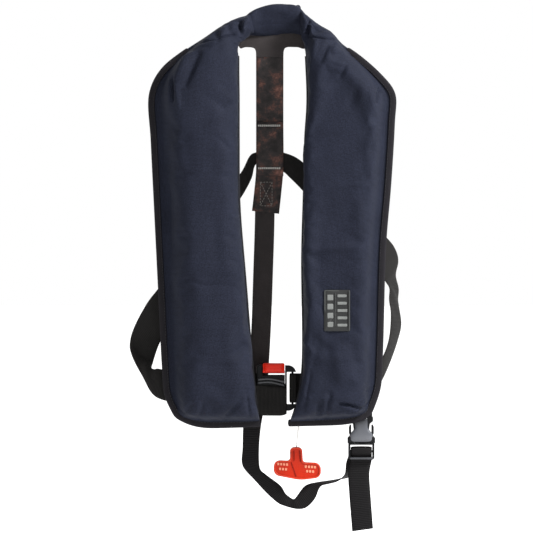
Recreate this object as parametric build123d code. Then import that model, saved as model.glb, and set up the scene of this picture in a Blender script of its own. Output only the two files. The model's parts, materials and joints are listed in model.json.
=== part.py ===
from build123d import *
import math
import os

# Inflatable life jacket, hanging upright from its neck. Millimetres.
# The origin is the neck rest: the middle of the neck opening's upper edge.
# +Z is up, +X is to the viewer's right, and the front faces -Y.

# ---- driving dimensions ---------------------------------------------------
FABRIC = 2.0             # cover and back panel, as stiffened fabric
LOBE_DEPTH = 44.0        # puffy depth of each lobe, front to back
FLANGE_INSET = (21, 9)   # flat edge outside the puffy part: side, hem
COLLAR_DEPTH = 36.0
BLADDER_GAP = 6.0        # folded bladder, inside the cover's outline
BINDING_WIDTH = 8.0
BELT_WIDTH = 40.0        # waist webbing
WEBBING = 1.6            # webbing thickness
WIDE_WEBBING = 2.2       # thickness of the wide back strap
WAIST_Z = -464.5         # height of the waist buckle's middle
WAIST_Y = 11.0           # depth of the waist buckle's middle
CROTCH_X = 122.0         # middle of the crotch buckle
CROTCH_Y = 9.0
CROTCH_TOP = -501.5      # top of the crotch buckle's housing
CYLINDER_X = 90.0        # axis of the gas cylinder and its firing head
CYLINDER_R = 14.0
CAVITY_Y = -24.0         # middle of the lobe's inside, front to back
HEAD_Z = -452.0          # underside of the firing head's body
TUBE_X = -76.0           # axis of the oral tube
CORD_R = 1.0             # pull cord
CORD_EXIT = (40.5, -493.5)  # middle of the cord's grommet in the back panel
GROMMET_R = 7.2          # outer radius of the grommet
GROMMET_BORE_R = 5.7
HANDLE_X = 33.5          # top middle of the pull handle
HANDLE_TOP = -545.0
HANDLE_Y = 6.0
HANDLE_HALF = 3.0        # half thickness of the handle

nodes = {}


# ---- helpers --------------------------------------------------------------
def outline(points):
    """Closed outline drawn in X and Z."""
    return make_face(Polyline(*points, close=True))


def rounded(face, point, radius):
    """Round the corner of an outline that is nearest to a point."""
    corner = face.vertices().sort_by_distance((point[0], point[1], 0))[0]
    return fillet(corner, radius)


def slab(face, y_front, y_back):
    """Extrude an outline in X and Z from one depth to another."""
    return extrude(Plane.XZ.offset(-y_back) * face, amount=y_back - y_front)


def block(x0, x1, y0, y1, z0, z1):
    """Axis-aligned box from its limits."""
    size = (x1 - x0, y1 - y0, z1 - z0)
    return Pos((x0 + x1) / 2, (y0 + y1) / 2, (z0 + z1) / 2) * Box(*size)


def rod(x, y, z0, z1, radius):
    """Upright cylinder from one height to another."""
    return Pos(x, y, (z0 + z1) / 2) * Cylinder(radius, z1 - z0)


def cross_rod(x, z, y0, y1, radius):
    """Cylinder that runs front to back."""
    return Pos(x, (y0 + y1) / 2, z) * Rot(90, 0, 0) * Cylinder(radius, y1 - y0)


def ribbon(stations, thickness=WEBBING):
    """Flat webbing through stations, each a pair of points on its two edges."""
    edges = [(Vector(*a), Vector(*b)) for a, b in stations]
    middles = [(a + b) * 0.5 for a, b in edges]
    sections = []
    for i, (a, b) in enumerate(edges):
        ahead = middles[min(i + 1, len(middles) - 1)]
        behind = middles[max(i - 1, 0)]
        normal = (ahead - behind).cross(b - a).normalized() * (thickness / 2)
        corners = [a + normal, b + normal, b - normal, a - normal]
        sections.append(Wire([
            Edge.make_line(corners[k], corners[(k + 1) % 4]) for k in range(4)
        ]))
    return Solid.make_loft(sections, ruled=True)


def add(name, shape, colour):
    shape.color = Color(*colour)
    shape.label = name
    nodes[name] = shape


NAVY = (0.05, 0.07, 0.12)
BLACK = (0.03, 0.03, 0.03)
GREY = (0.35, 0.36, 0.37)
RED = (0.85, 0.16, 0.06)
YELLOW = (0.9, 0.75, 0.1)
WHITE = (0.85, 0.85, 0.83)
METAL = (0.6, 0.6, 0.62)
GREEN = (0.1, 0.6, 0.2)

# ---- lobes ----------------------------------------------------------------
# Inner top corner, seam, shoulder, outer edge, hem, and up the inner edge.
LEFT_EDGE = [
    (-43.5, -9.5), (-76, 24), (-134, -15), (-167, -48), (-164, -130),
    (-152, -375), (-147, -470), (-136, -500), (-96, -518), (-15, -516),
    (-24, -435), (-42, -213), (-43, -80),
]
RIGHT_EDGE = [
    (44, -5), (88, 15), (134, -24), (168, -52), (165, -130),
    (151, -306), (150, -440), (138, -497), (100, -513), (21, -516),
    (38.8, -440), (38.8, -283), (43, -121), (46, -70),
]


def lobe(edge, side):
    """Flat outline of a lobe and of the puffy part inside its sewn flange."""
    flat = outline(edge)
    for k, radius in ((3, 24), (7, 22), (8, 30)):
        flat = rounded(flat, edge[k], radius)
    flat = rounded(flat, edge[9], 6)
    shift = Pos(-side * FLANGE_INSET[0], FLANGE_INSET[1], 0)
    return flat, flat & (shift * flat)


def make_lobe(edge, side, pocket):
    """Cover, back panel, binding, closure and bladder of one lobe."""
    flat, puff = lobe(edge, side)
    inner = offset(puff, -FABRIC)
    body = slab(puff, -LOBE_DEPTH, -2 * FABRIC)
    front = body.faces().sort_by(Axis.Y)[0]
    body = chamfer(front.edges(), 12)
    hollow = slab(inner, -LOBE_DEPTH + FABRIC, 0)
    front = hollow.faces().sort_by(Axis.Y)[0]
    hollow = chamfer(front.edges(), 11)
    cover = slab(flat, -2 * FABRIC, -FABRIC) + body - hollow
    panel = slab(flat, -FABRIC, 0)

    # The binding folds over the outer edge and the hem, not the inner edge.
    rim = offset(flat, 1.2) - offset(flat, -BINDING_WIDTH)
    hem_x = edge[9][0] + side * 3
    reach = [
        (hem_x, -530), (side * 190, -530), (side * 190, 40),
        (edge[1][0] + side * 6, 40), (edge[1][0] + side * 6, -45), (hem_x, -480),
    ]
    strip = slab(rim & outline(reach), -2 * FABRIC - 1.2, 1.2)
    binding = strip - slab(flat, -2 * FABRIC, 0) - slab(puff, -10, 0)

    # Hook-and-loop strip let into the cover's flange: it bursts open on inflation.
    inside = offset(flat, -BINDING_WIDTH - 1) - offset(flat, -BINDING_WIDTH - 6)
    closure = slab(inside & outline(reach), -FABRIC - 1, -FABRIC)

    bladder = slab(offset(puff, -BLADDER_GAP), -LOBE_DEPTH + BLADDER_GAP + 3, -FABRIC - 2.5)
    front = bladder.faces().sort_by(Axis.Y)[0]
    bladder = chamfer(front.edges(), 12) - pocket
    return cover - closure, panel, binding, closure, bladder


# Room for the hard parts in front of the folded bladder.
BLADDER_FACE = -8.5
inflator_pocket = block(20, 124, -43, BLADDER_FACE, -530, -262)
cord_pocket = block(20, 62, -43, 0, -530, -466)
tube_pocket = block(TUBE_X - 22, -38, -43, BLADDER_FACE, -330, -70)
becket_pocket = block(70, 120, -43, BLADDER_FACE, -200, -90)

cover_l, panel_l, binding_l, closure_l, bladder_l = make_lobe(
    LEFT_EDGE, -1, tube_pocket
)
cover_r, panel_r, binding_r, closure_r, bladder_r = make_lobe(
    RIGHT_EDGE, 1, inflator_pocket + cord_pocket + becket_pocket
)

# The pull cord leaves through a grommet in the right back panel, above the hem.
cord_hole = cross_rod(*CORD_EXIT, -4, 1.3, GROMMET_R)
panel_r = panel_r - cord_hole
cover_r = cover_r - cord_hole
closure_r = closure_r - cord_hole
binding_r = binding_r - cord_hole
grommet = cross_rod(*CORD_EXIT, -2.4, 0.8, GROMMET_R) - cross_rod(*CORD_EXIT, -3, 1, GROMMET_BORE_R)

add("cover_left", cover_l, NAVY)
add("cover_right", cover_r, NAVY)
add("back_panel_left", panel_l, BLACK)
add("back_panel_right", panel_r, BLACK)
add("binding_left", binding_l, BLACK)
add("binding_right", binding_r, BLACK)
add("closure_left", closure_l, GREY)
add("closure_right", closure_r, GREY)
add("bladder_left", bladder_l, YELLOW)
add("bladder_right", bladder_r, YELLOW)
add("hem_grommet", grommet, GREY)


# ---- collar ---------------------------------------------------------------
def collar_section(inner, outer, y, depth):
    """Rounded section between two points in X and Z, at a depth."""
    middle = ((inner[0] + outer[0]) / 2, (inner[1] + outer[1]) / 2)
    run = (outer[0] - inner[0], outer[1] - inner[1])
    width = math.hypot(*run)
    plane = Plane(
        origin=(middle[0], y, middle[1]),
        x_dir=(run[0] / width, 0, run[1] / width),
        z_dir=(run[1] / width, 0, -run[0] / width),
    )
    return plane, width, depth


COLLAR = [
    ((-43.5, -9.5), (-76, 24), -22, 36), ((-36, 9), (-45, 40), 0, COLLAR_DEPTH),
    ((2, 17), (3, 58.5), 20, COLLAR_DEPTH), ((36, 10), (48, 45), 0, COLLAR_DEPTH),
    ((44, -5), (88, 15), -22, 36),
]


def collar_solid(shrink):
    """Loft of the collar, drawn in by the given amount on all sides."""
    faces = []
    for inner, outer, y, depth in COLLAR:
        plane, width, depth = collar_section(inner, outer, y, depth)
        size = (width - 2 * shrink, depth - 2 * shrink)
        faces.append(plane * RectangleRounded(*size, 9 - shrink))
    return loft(faces)


collar = collar_solid(0)
add("cover_collar", collar - collar_solid(FABRIC), NAVY)
add("bladder_collar", collar_solid(BLADDER_GAP), YELLOW)

lining = slab(outline([(-42, -1.4), (44, -1.4), (40, 17), (-38, 17)]), 15, 18)
add("neck_lining", lining - collar, BLACK)

# ---- back straps ----------------------------------------------------------
STRAP_LEFT, STRAP_RIGHT = -21.8, 15.7
add("back_strap_wide", ribbon([
    ((STRAP_LEFT, 19.2, 12), (STRAP_RIGHT, 19.2, 12)),
    ((STRAP_LEFT, 21, -30), (STRAP_RIGHT, 21, -30)),
    ((STRAP_LEFT, 36, -100), (STRAP_RIGHT, 36, -100)),
    ((STRAP_LEFT, 40, -165), (STRAP_RIGHT, 40, -165)),
    ((-27, 41, -223), (9.7, 41, -226)),
], WIDE_WEBBING), BLACK)

add("strap_tunnel", ribbon([
    ((STRAP_LEFT, 34.1, -100), (STRAP_RIGHT, 34.1, -100)),
    ((STRAP_LEFT, 32.6, -112), (STRAP_RIGHT, 32.6, -112)),
    ((STRAP_LEFT, 33.4, -164), (STRAP_RIGHT, 33.4, -164)),
    ((STRAP_LEFT, 38.2, -174), (STRAP_RIGHT, 38.2, -174)),
], 1.4), BLACK)

add("back_strap_narrow", ribbon([
    ((-23, 43.1, -190), (3.5, 43.1, -190)), ((-23.5, 43.5, -235), (3.5, 43.5, -235)),
    ((-28, 36, -380), (-1, 36, -380)), ((-33, 31, -470), (-6, 31, -470)),
]), BLACK)


def stitch_bar(z, y):
    """Row of heavy stitches across the wide strap."""
    return block(STRAP_LEFT + 3, STRAP_RIGHT - 3, y - 0.8, y, z - 1.2, z + 1.2)


stitches = stitch_bar(-105, 32.4) + stitch_bar(-165, 32.5)
add("bar_stitches", stitches, WHITE)

# ---- waist belt -----------------------------------------------------------
half = BELT_WIDTH / 2
add("belt_left", ribbon([
    ((-3, 35.3, -121), (-3, 35.3, -161)), ((-22, 35.3, -122), (-22, 35.3, -162)),
    ((-52, 33, -150), (-27, 34, -186)), ((-148, 20, -318), (-112, 20, -336)),
    ((-172, 24, -358), (-146, 24, -386)), ((-192, 32, -390), (-160, 30, -418)),
    ((-194.5, 22, -412), (-163, 20, -430)), ((-176, 11, -447), (-160, 11, -437)),
    ((-157, 8, -479), (-152, 8, -439)), ((-120, 8, -483), (-120, 8, -443)),
    ((-26, WAIST_Y, WAIST_Z - half), (-26, WAIST_Y, WAIST_Z + half)),
    ((-19, WAIST_Y, WAIST_Z - half), (-19, WAIST_Y, WAIST_Z + half)),
]), BLACK)

add("belt_right", ribbon([
    ((-3, 35.3, -121), (-3, 35.3, -161)), ((16, 35.3, -122), (16, 35.3, -162)),
    ((52, 33, -155), (25, 34, -185)), ((146, 21, -248), (118, 21, -276)),
    ((172, 34, -292), (150, 10, -312)), ((177, 44, -330), (163, 7, -332)),
    ((179, 44, -368), (164, 7, -368)), ((172, 42, -408), (156, 7, -402)),
    ((157, 28, -446), (145, 6, -432)), ((136, 10, -478), (134, 8, -438)),
    ((104, 9, -485), (104, 9, -445)),
]), BLACK)

# Round the plug's bar, then back behind the right lobe.
BAR_X = 28.0           # axis of the bar in the waist buckle's plug
bar_wrap = [(5, -3.6), (0, -4.0), (-3.1, -2.2), (-3.1, 2.2), (0, 4.0), (8, 3.2)]
add("belt_right_front", ribbon(
    [((BAR_X + x, WAIST_Y + y, WAIST_Z - half), (BAR_X + x, WAIST_Y + y, WAIST_Z + half))
     for x, y in bar_wrap]
    + [((80, 10.5, -485), (80, 10.5, -445)), ((103.6, 9, -485), (103.6, 9, -445))]
), BLACK)

MOUTH_X = 17.5         # right end of the waist buckle's housing
add("belt_tail", ribbon([
    ((-60, 2.6, -499), (-60, 2.6, -459)), ((-20, 2.2, -499), (-20, 2.2, -459)),
    ((MOUTH_X, 2.2, -499.5), (MOUTH_X, 2.2, -462)),
]), BLACK)


def belt_loop(x0, x1, z_mid, depth):
    """Sleeve of webbing on a lobe's back that the belt runs through."""
    ring = block(x0, x1, 0, depth, z_mid - 27, z_mid + 27)
    return ring - block(x0, x1, 1.2, depth - WEBBING, z_mid - 24, z_mid + 24)


add("belt_loop_left", belt_loop(-108, -70, -463, 14), BLACK)
add("belt_loop_right", belt_loop(80, 100, WAIST_Z, 14), BLACK)

# ---- waist buckle ---------------------------------------------------------
BUCKLE_HALF = 6.5      # half thickness
CORE_HALF = 18.0       # half height of the housing between the thumb pads
BUCKLE_TOP = 34.0      # pad's outer side, from the buckle's middle
y0, y1 = WAIST_Y - BUCKLE_HALF, WAIST_Y + BUCKLE_HALF


def waist_block(x0, x1, depth_half, low, high):
    """Box about the waist buckle's middle."""
    return block(x0, x1, WAIST_Y - depth_half, WAIST_Y + depth_half,
                 WAIST_Z + low, WAIST_Z + high)


def curved_rib(left, middle, right, width):
    """Raised rib across the housing's front, through three heights."""
    low = ThreePointArc((-20, left), (0, middle), (MOUTH_X, right))
    high = ThreePointArc((-20, left + width), (0, middle + width), (MOUTH_X, right + width))
    ends = Line(low @ 0, high @ 0), Line(low @ 1, high @ 1)
    rib = make_face(Wire([*low.edges(), *high.edges(), *ends[0].edges(), *ends[1].edges()]))
    return slab(Pos(0, WAIST_Z, 0) * rib, y0 - 1.0, y0 + 1)


housing = waist_block(-14, MOUTH_X, BUCKLE_HALF, -CORE_HALF, CORE_HALF)
housing = chamfer(housing.edges().filter_by(Axis.X), 1.2)
end = waist_block(-21, -13.5, BUCKLE_HALF, -32, 32)
end = fillet(end.edges().filter_by(Axis.Y).group_by(Axis.X)[0], 5)
housing += fillet(end.edges().filter_by(Axis.Z), 1.5)
housing -= waist_block(-12, MOUTH_X + 1, BUCKLE_HALF - 2, -CORE_HALF - 1, CORE_HALF + 1)
housing -= waist_block(-22, -11, 2.2, -21, 21)
housing += waist_block(-18.6, -16.4, 3.2, -22, 22)
housing -= waist_block(-17.5, -11, 2.2, -21, 21) - waist_block(-18.6, -16.4, 3.2, -22, 22)
housing += curved_rib(10.5, 11.4, 7.6, 2.4) + curved_rib(6.2, 7.1, 2.6, 2.4)
add("waist_buckle_housing", housing, BLACK)

frame = waist_block(MOUTH_X + 0.4, 33, BUCKLE_HALF, -31, 31)
frame = fillet(frame.edges().filter_by(Axis.Y).group_by(Axis.X)[-1], 11)
frame = chamfer(frame.faces().sort_by(Axis.Y)[0].edges(), 1.2)
frame -= waist_block(MOUTH_X + 2.8, 34, BUCKLE_HALF + 1, -22, 22)
frame += waist_block(BAR_X - 1.5, BAR_X + 1.5, 2.0, -23, 23)
prong = waist_block(-6, MOUTH_X + 1, 3, -6, 6)
plug = frame + chamfer(prong.faces().sort_by(Axis.X)[0].edges(), 1.5)
add("waist_buckle_plug", plug, BLACK)


def waist_arm(up):
    """Spring arm beside the housing, and the red thumb pad it carries."""
    low, high = sorted((up * 20.0, up * 24.0))
    arm = waist_block(-11, MOUTH_X, 4, low, high)
    low, high = sorted((up * 20.9, up * BUCKLE_TOP))
    pad = waist_block(-12.5, MOUTH_X - 0.4, BUCKLE_HALF, low, high)
    outer = pad.faces().sort_by(Axis.Z)[-1 if up > 0 else 0]
    pad = fillet(outer.edges(), 2.2)
    pad -= waist_block(-14, MOUTH_X + 1, 4, *sorted((up * 20.0, up * 24.0)))
    rib = waist_block(-10, MOUTH_X - 3, BUCKLE_HALF + 0.7, *sorted((up * 27, up * 28.6)))
    return arm, pad + rib


for word, up in (("upper", 1), ("lower", -1)):
    arm, pad = waist_arm(up)
    add(f"waist_arm_{word}", arm, BLACK)
    add(f"waist_pad_{word}", pad, RED)

# ---- crotch strap and buckle ----------------------------------------------
add("crotch_strap", ribbon([
    ((-33, 31, -470.6), (-6, 31, -470.6)), ((-39.4, 27, -517), (-15, 27, -517)),
    ((-40.4, 25, -548), (-17.7, 25, -548)), ((-41.4, 23, -567), (-17, 23, -571)),
    ((-25.8, 21, -589), (-8.2, 21, -583.4)), ((-4, 19, -612), (12.2, 19, -599)),
    ((11, 17, -623.6), (19, 17, -609.3)), ((25, 16, -628.6), (28, 16, -616.3)),
    ((42.2, 15, -629.7), (31.8, 15, -615)), ((58.5, 13, -616), (43.5, 16, -599.8)),
    ((65, 12, -600), (58, 19, -594.5)), ((76, 11, -596), (76, 29, -593)),
    ((89, 11, -592.6), (89, 32, -591.6)), ((99, 13, -583), (106, 34, -588)),
    ((101.5, 15.5, -567), (122, 25, -575)), ((107.5, 15.4, -549), (136.5, 15.4, -549)),
]), BLACK)

PARTING = CROTCH_TOP - 38     # mouth of the housing
CROTCH_HALF = 5.5             # half thickness


def crotch_block(x0, x1, low, high, z0, z1):
    """Box about the crotch buckle's middle, with depths from that middle."""
    return block(CROTCH_X + x0, CROTCH_X + x1, CROTCH_Y + low, CROTCH_Y + high, z0, z1)


half_plate = [
    (0, 0), (14, 0), (16, -3), (16, -8), (11.5, -12), (10.5, -19), (11.5, -26),
    (17, -29), (18.8, -31), (18.8, -38), (0, -38),
]
plate = outline([(CROTCH_X + x, CROTCH_TOP + z) for x, z in half_plate])
plate += mirror(plate, Plane.YZ.offset(CROTCH_X))
housing = slab(plate, CROTCH_Y - CROTCH_HALF, CROTCH_Y + CROTCH_HALF)
housing = chamfer(housing.faces().sort_by(Axis.Y)[0].edges(), 1.2)
housing -= crotch_block(-9, 9, -3.7, 3.7, PARTING - 1, CROTCH_TOP - 11)
housing -= crotch_block(-17.3, 17.3, -3.7, 3.7, PARTING - 1, PARTING + 13)
housing -= crotch_block(-15.4, 15.4, -1.6, 1.6, CROTCH_TOP - 6, CROTCH_TOP + 1)
add("crotch_buckle_housing", housing, BLACK)

FRAME_TOP = PARTING - 0.4
frame = crotch_block(-17.8, 17.8, -CROTCH_HALF, 4.5, FRAME_TOP - 22.5, FRAME_TOP)
frame = fillet(frame.edges().filter_by(Axis.Y).group_by(Axis.Z)[0], 4)
frame -= crotch_block(-15, 15, -6, 6, FRAME_TOP - 18.5, FRAME_TOP - 2)
frame -= crotch_block(-15, 15, -2.4, 6, FRAME_TOP - 23, FRAME_TOP - 18)
frame += crotch_block(-16, 16, -2.2, 2.2, FRAME_TOP - 12.5, FRAME_TOP - 9.5)
frame += crotch_block(-4, 4, -2.5, 2.5, FRAME_TOP - 1, FRAME_TOP + 25)
add("crotch_buckle_plug", frame, BLACK)

for word, side in (("left", -1), ("right", 1)):
    near, far = sorted((side * 13.8, side * 16.2))
    arm = crotch_block(near, far, -3.3, 3.3, FRAME_TOP + 0.2, CROTCH_TOP - 13)
    near, far = sorted((side * 13.8, side * 17.0))
    arm += crotch_block(near, far, -3.3, 3.3, FRAME_TOP + 13, FRAME_TOP + 23)
    add(f"crotch_arm_{word}", arm, BLACK)


def tail_station(left, right, depth, low, high=None):
    """Both edges of the crotch webbing at one depth from the buckle's middle."""
    high = low if high is None else high
    return ((left, CROTCH_Y + depth, low), (right, CROTCH_Y + depth, high))


roll = [(4.0, -13.5), (4.0, -8), (1.6, -5.6), (-1.6, -5.6), (-4.0, -8), (-4.0, -13.5),
        (-1.2, -18), (1.0, -23)]
add("crotch_tail", ribbon(
    [tail_station(107.6, 136.2, depth, FRAME_TOP + drop) for depth, drop in roll]
    + [tail_station(104.5, 133.5, 1.5, -580), tail_station(110, 138.5, 2, -661, -657)]
), BLACK)
add("crotch_tab", ribbon([
    ((CROTCH_X - 15, 15.0, -436), (CROTCH_X + 15, 15.0, -436)),
    ((CROTCH_X - 15, 15.0, -488), (CROTCH_X + 15, 15.0, -488)),
    ((CROTCH_X - 15, CROTCH_Y, -499), (CROTCH_X + 15, CROTCH_Y, -499)),
    ((CROTCH_X - 15, CROTCH_Y, -506.5), (CROTCH_X + 15, CROTCH_Y, -506.5)),
]), BLACK)

# ---- pull handle and cord -------------------------------------------------
# Corners from the top middle, each with its rounding: a stem, two wings and a
# shallow curve along the bottom.
handle_corners = [
    (-9, 0, 6), (7.5, 0, 6), (8.8, -20.5, 4), (33.2, -21.5, 9), (33.2, -41.5, 9),
    (5, -45, 50), (-31.2, -38, 9), (-31.2, -17.6, 9), (-9, -18.6, 4),
]
RIM_WIDTH = 2.2
RIM_HEIGHT = 0.8
shape = outline([(HANDLE_X + x, HANDLE_TOP + z) for x, z, _ in handle_corners])
for x, z, radius in handle_corners:
    shape = rounded(shape, (HANDLE_X + x, HANDLE_TOP + z), radius)
handle = slab(shape, HANDLE_Y - HANDLE_HALF, HANDLE_Y + HANDLE_HALF)
handle -= slab(offset(shape, -RIM_WIDTH), HANDLE_Y - HANDLE_HALF, HANDLE_Y - HANDLE_HALF + RIM_HEIGHT)
add("pull_handle", handle, RED)

CORD_ROUTE = [
    (49.5, CAVITY_Y, -441.0), (48.6, -23.6, -457.0), (45.0, -15.0, -476.0),
    (41.0, -2.5, -491.5), (38.0, 5.0, -504.0), (35.4, HANDLE_Y, -522.0),
    (HANDLE_X, HANDLE_Y, HANDLE_TOP),
]
route = [Vector(*point) for point in CORD_ROUTE]
radii = []
for before, here, after in zip(route, route[1:], route[2:]):
    run = min((here - before).length, (after - here).length)
    half_turn = math.radians((here - before).get_angle(after - here) / 2)
    radii.append(0.45 * run / math.tan(half_turn))
path = FilletPolyline(*route, radius=radii)
start = Plane(origin=path @ 0, z_dir=path % 0)
cord = sweep(start * Circle(CORD_R), path=path)
print("pull cord length", round(path.length, 1))
add("pull_cord", cord, WHITE)

# ---- inflator, inside the right lobe --------------------------------------
ax, ay = CYLINDER_X, CAVITY_Y
STEM_X, STEM_Z = ax + 18, HEAD_Z + 22
PIVOT_X, PIVOT_Z = ax - 22, HEAD_Z + 6
PIN_R = 1.5

body = block(ax - 14, ax + 26, ay - 12, ay + 12, HEAD_Z, HEAD_Z + 44)
body = fillet(body.edges().filter_by(Axis.Z), 4)
body -= rod(ax, ay, HEAD_Z + 31, HEAD_Z + 45, 6.6)
body -= rod(ax, ay, HEAD_Z + 20, HEAD_Z + 32, 2.8)
body -= rod(ax, ay, HEAD_Z - 1, HEAD_Z + 20, 8.6)
body -= cross_rod(STEM_X, STEM_Z, ay - 13, ay + 13, 4.6)
for y in (ay - 9, ay + 6):
    body += block(PIVOT_X - 5, ax - 13, y, y + 3, HEAD_Z, HEAD_Z + 12)
body -= cross_rod(PIVOT_X, PIVOT_Z, ay - 10, ay + 10, PIN_R)
add("inflator_body", body, GREY)

add("lever_pin", cross_rod(PIVOT_X, PIVOT_Z, ay - 9, ay + 9, PIN_R), METAL)
TIP = (49.5, -441.0)
hub = cross_rod(PIVOT_X, PIVOT_Z, ay - 5.5, ay + 5.5, 4.5)
lever_reach = math.hypot(TIP[0] - PIVOT_X, TIP[1] - PIVOT_Z)
tilt = math.degrees(math.atan2(TIP[1] - PIVOT_Z, PIVOT_X - TIP[0]))
arm = Pos(PIVOT_X, ay, PIVOT_Z) * Rot(0, tilt, 0) * Pos(-lever_reach / 2, 0, 0) * Box(lever_reach, 5, 4)
lever = hub + arm + cross_rod(TIP[0], TIP[1], ay - 2.5, ay + 2.5, 2.6)
lever -= cross_rod(PIVOT_X, PIVOT_Z, ay - 6, ay + 6, PIN_R + 0.08)
lever -= rod(CORD_ROUTE[0][0], ay, TIP[1] - 6, TIP[1] + 0.3, 1.7)
add("inflator_lever", lever, YELLOW)

neck = HEAD_Z + 33
profile = [
    (0, neck), (6.5, neck), (6.5, neck + 14), (CYLINDER_R, neck + 26),
    (CYLINDER_R, neck + 142), (CYLINDER_R - 4, neck + 149), (0, neck + 151),
]
gas = revolve(Plane.XZ * outline(profile), Axis.Z)
add("gas_cylinder", Pos(ax, ay, 0) * gas, METAL)

cap = rod(ax, ay, HEAD_Z - 30, HEAD_Z - 0.3, 12.5) - rod(ax, ay, HEAD_Z - 27, HEAD_Z, 9)
for k in range(12):
    angle = math.radians(30 * k)
    groove = (ax + 12.9 * math.cos(angle), ay + 12.9 * math.sin(angle))
    cap -= rod(*groove, HEAD_Z - 31, HEAD_Z - 6, 1.2)
add("firing_cap", cap, YELLOW)
bobbin = rod(ax, ay, HEAD_Z - 27, HEAD_Z - 18, 8.6) - rod(ax, ay, HEAD_Z - 28, HEAD_Z - 17, 3)
add("bobbin", bobbin, WHITE)
striker = rod(ax, ay, HEAD_Z - 16, HEAD_Z - 12, 7.5) + rod(ax, ay, HEAD_Z - 13, HEAD_Z + 24, 2.3)
striker += Pos(ax, ay, HEAD_Z + 26) * Cone(2.3, 0.3, 4)
add("striker", striker, METAL)


def coil(x, y, z0, z1, radius, wire, pitch):
    """Helical spring between two heights."""
    path = Helix(pitch, z1 - z0 - 2 * wire, radius, center=(x, y, z0 + wire))
    start = Plane(origin=path @ 0, z_dir=path % 0)
    return sweep(start * Circle(wire), path=path, is_frenet=True)


add("firing_spring", coil(ax, ay, HEAD_Z - 11.5, HEAD_Z + 19, 5.2, 0.6, 4.5), METAL)
indicator = cross_rod(ax, HEAD_Z + 12, ay - 13.5, ay - 12, 4)
add("status_indicator", indicator, GREEN)

manifold = cross_rod(STEM_X, STEM_Z, BLADDER_FACE - 2, BLADDER_FACE, 12)
manifold += cross_rod(STEM_X, STEM_Z, ay - 14, BLADDER_FACE - 1, 4.5)
add("manifold", manifold, BLACK)
gasket = cross_rod(STEM_X, STEM_Z, ay + 12, BLADDER_FACE - 2, 8)
gasket -= cross_rod(STEM_X, STEM_Z, ay + 11, BLADDER_FACE, 4.6)
add("manifold_gasket", gasket, BLACK)
nut = Pos(STEM_X, ay - 14, STEM_Z) * Rot(90, 0, 0) * extrude(RegularPolygon(7.5, 6), 2, both=True)
nut -= cross_rod(STEM_X, STEM_Z, ay - 14.2, ay - 10, 4.55)
add("manifold_nut", nut, METAL)

# ---- oral inflation tube, inside the left lobe ----------------------------
TUBE_FOOT = -296.0
VALVE_Z = -150.0
tube = rod(TUBE_X, ay, TUBE_FOOT, VALVE_Z, 7) - rod(TUBE_X, ay, TUBE_FOOT + 4, VALVE_Z, 5)
tube += cross_rod(TUBE_X, TUBE_FOOT - 2, ay, BLADDER_FACE - 3, 7)
tube += cross_rod(TUBE_X, TUBE_FOOT - 2, BLADDER_FACE - 3, BLADDER_FACE, 14)
add("oral_tube", tube, BLACK)
valve = rod(TUBE_X, ay, VALVE_Z, VALVE_Z + 30, 8.5) - rod(TUBE_X, ay, VALVE_Z + 3, VALVE_Z + 31, 6)
valve -= rod(TUBE_X, ay, VALVE_Z - 1, VALVE_Z + 4, 3)
add("oral_valve", valve, BLACK)
poppet = rod(TUBE_X, ay, VALVE_Z + 16, VALVE_Z + 20, 5.6) + rod(
    TUBE_X, ay, VALVE_Z + 20, VALVE_Z + 32, 2.5)
add("valve_poppet", poppet, RED)
add("valve_spring", coil(TUBE_X, ay, VALVE_Z + 3.3, VALVE_Z + 15.7, 4, 0.5, 3), METAL)
cap = rod(TUBE_X, ay, VALVE_Z + 14, VALVE_Z + 38, 10.5)
cap -= rod(TUBE_X, ay, VALVE_Z + 13, VALVE_Z + 35, 8.8)
add("dust_cap", cap, BLACK)

whistle = block(-64, -49, ay - 5, ay + 5, -250, -205) - block(-61, -52, ay - 3, ay + 3, -247, -204)
whistle -= block(-65, -55, ay - 3, ay + 3, -238, -234)
whistle += cross_rod(-57, -254, ay - 2, ay + 2, 6) - cross_rod(-57, -256, ay - 3, ay + 3, 2.5)
add("whistle", whistle, YELLOW)

# ---- trim -----------------------------------------------------------------
becket = block(80, 110, ay - 5, ay + 5, -190, -100)
becket -= block(79, 111, ay - 5 + WEBBING, ay + 5 - WEBBING, -190 + WEBBING, -100 - WEBBING)
add("lifting_becket", becket, WHITE)
tapes = block(-119, -99, -38.6, -38, -300, -120) + block(62, 118, -38.6, -38, -254, -212)
add("reflective_tapes", tapes, WHITE)

patch = outline([(70, -386), (105.5, -386), (105.5, -330), (70, -330)])
patch = fillet(patch.vertices(), 2)
badge = slab(patch, -LOBE_DEPTH - 2, -LOBE_DEPTH)
badge -= slab(offset(patch, -2), -LOBE_DEPTH - 2, -LOBE_DEPTH - 1.2)
add("badge_patch", badge, GREY)

os.makedirs("parts", exist_ok=True)
for name, shape in nodes.items():
    export_step(shape, f"parts/{name}.step")
print(len(nodes), "nodes")
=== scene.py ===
import json
import math

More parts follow.
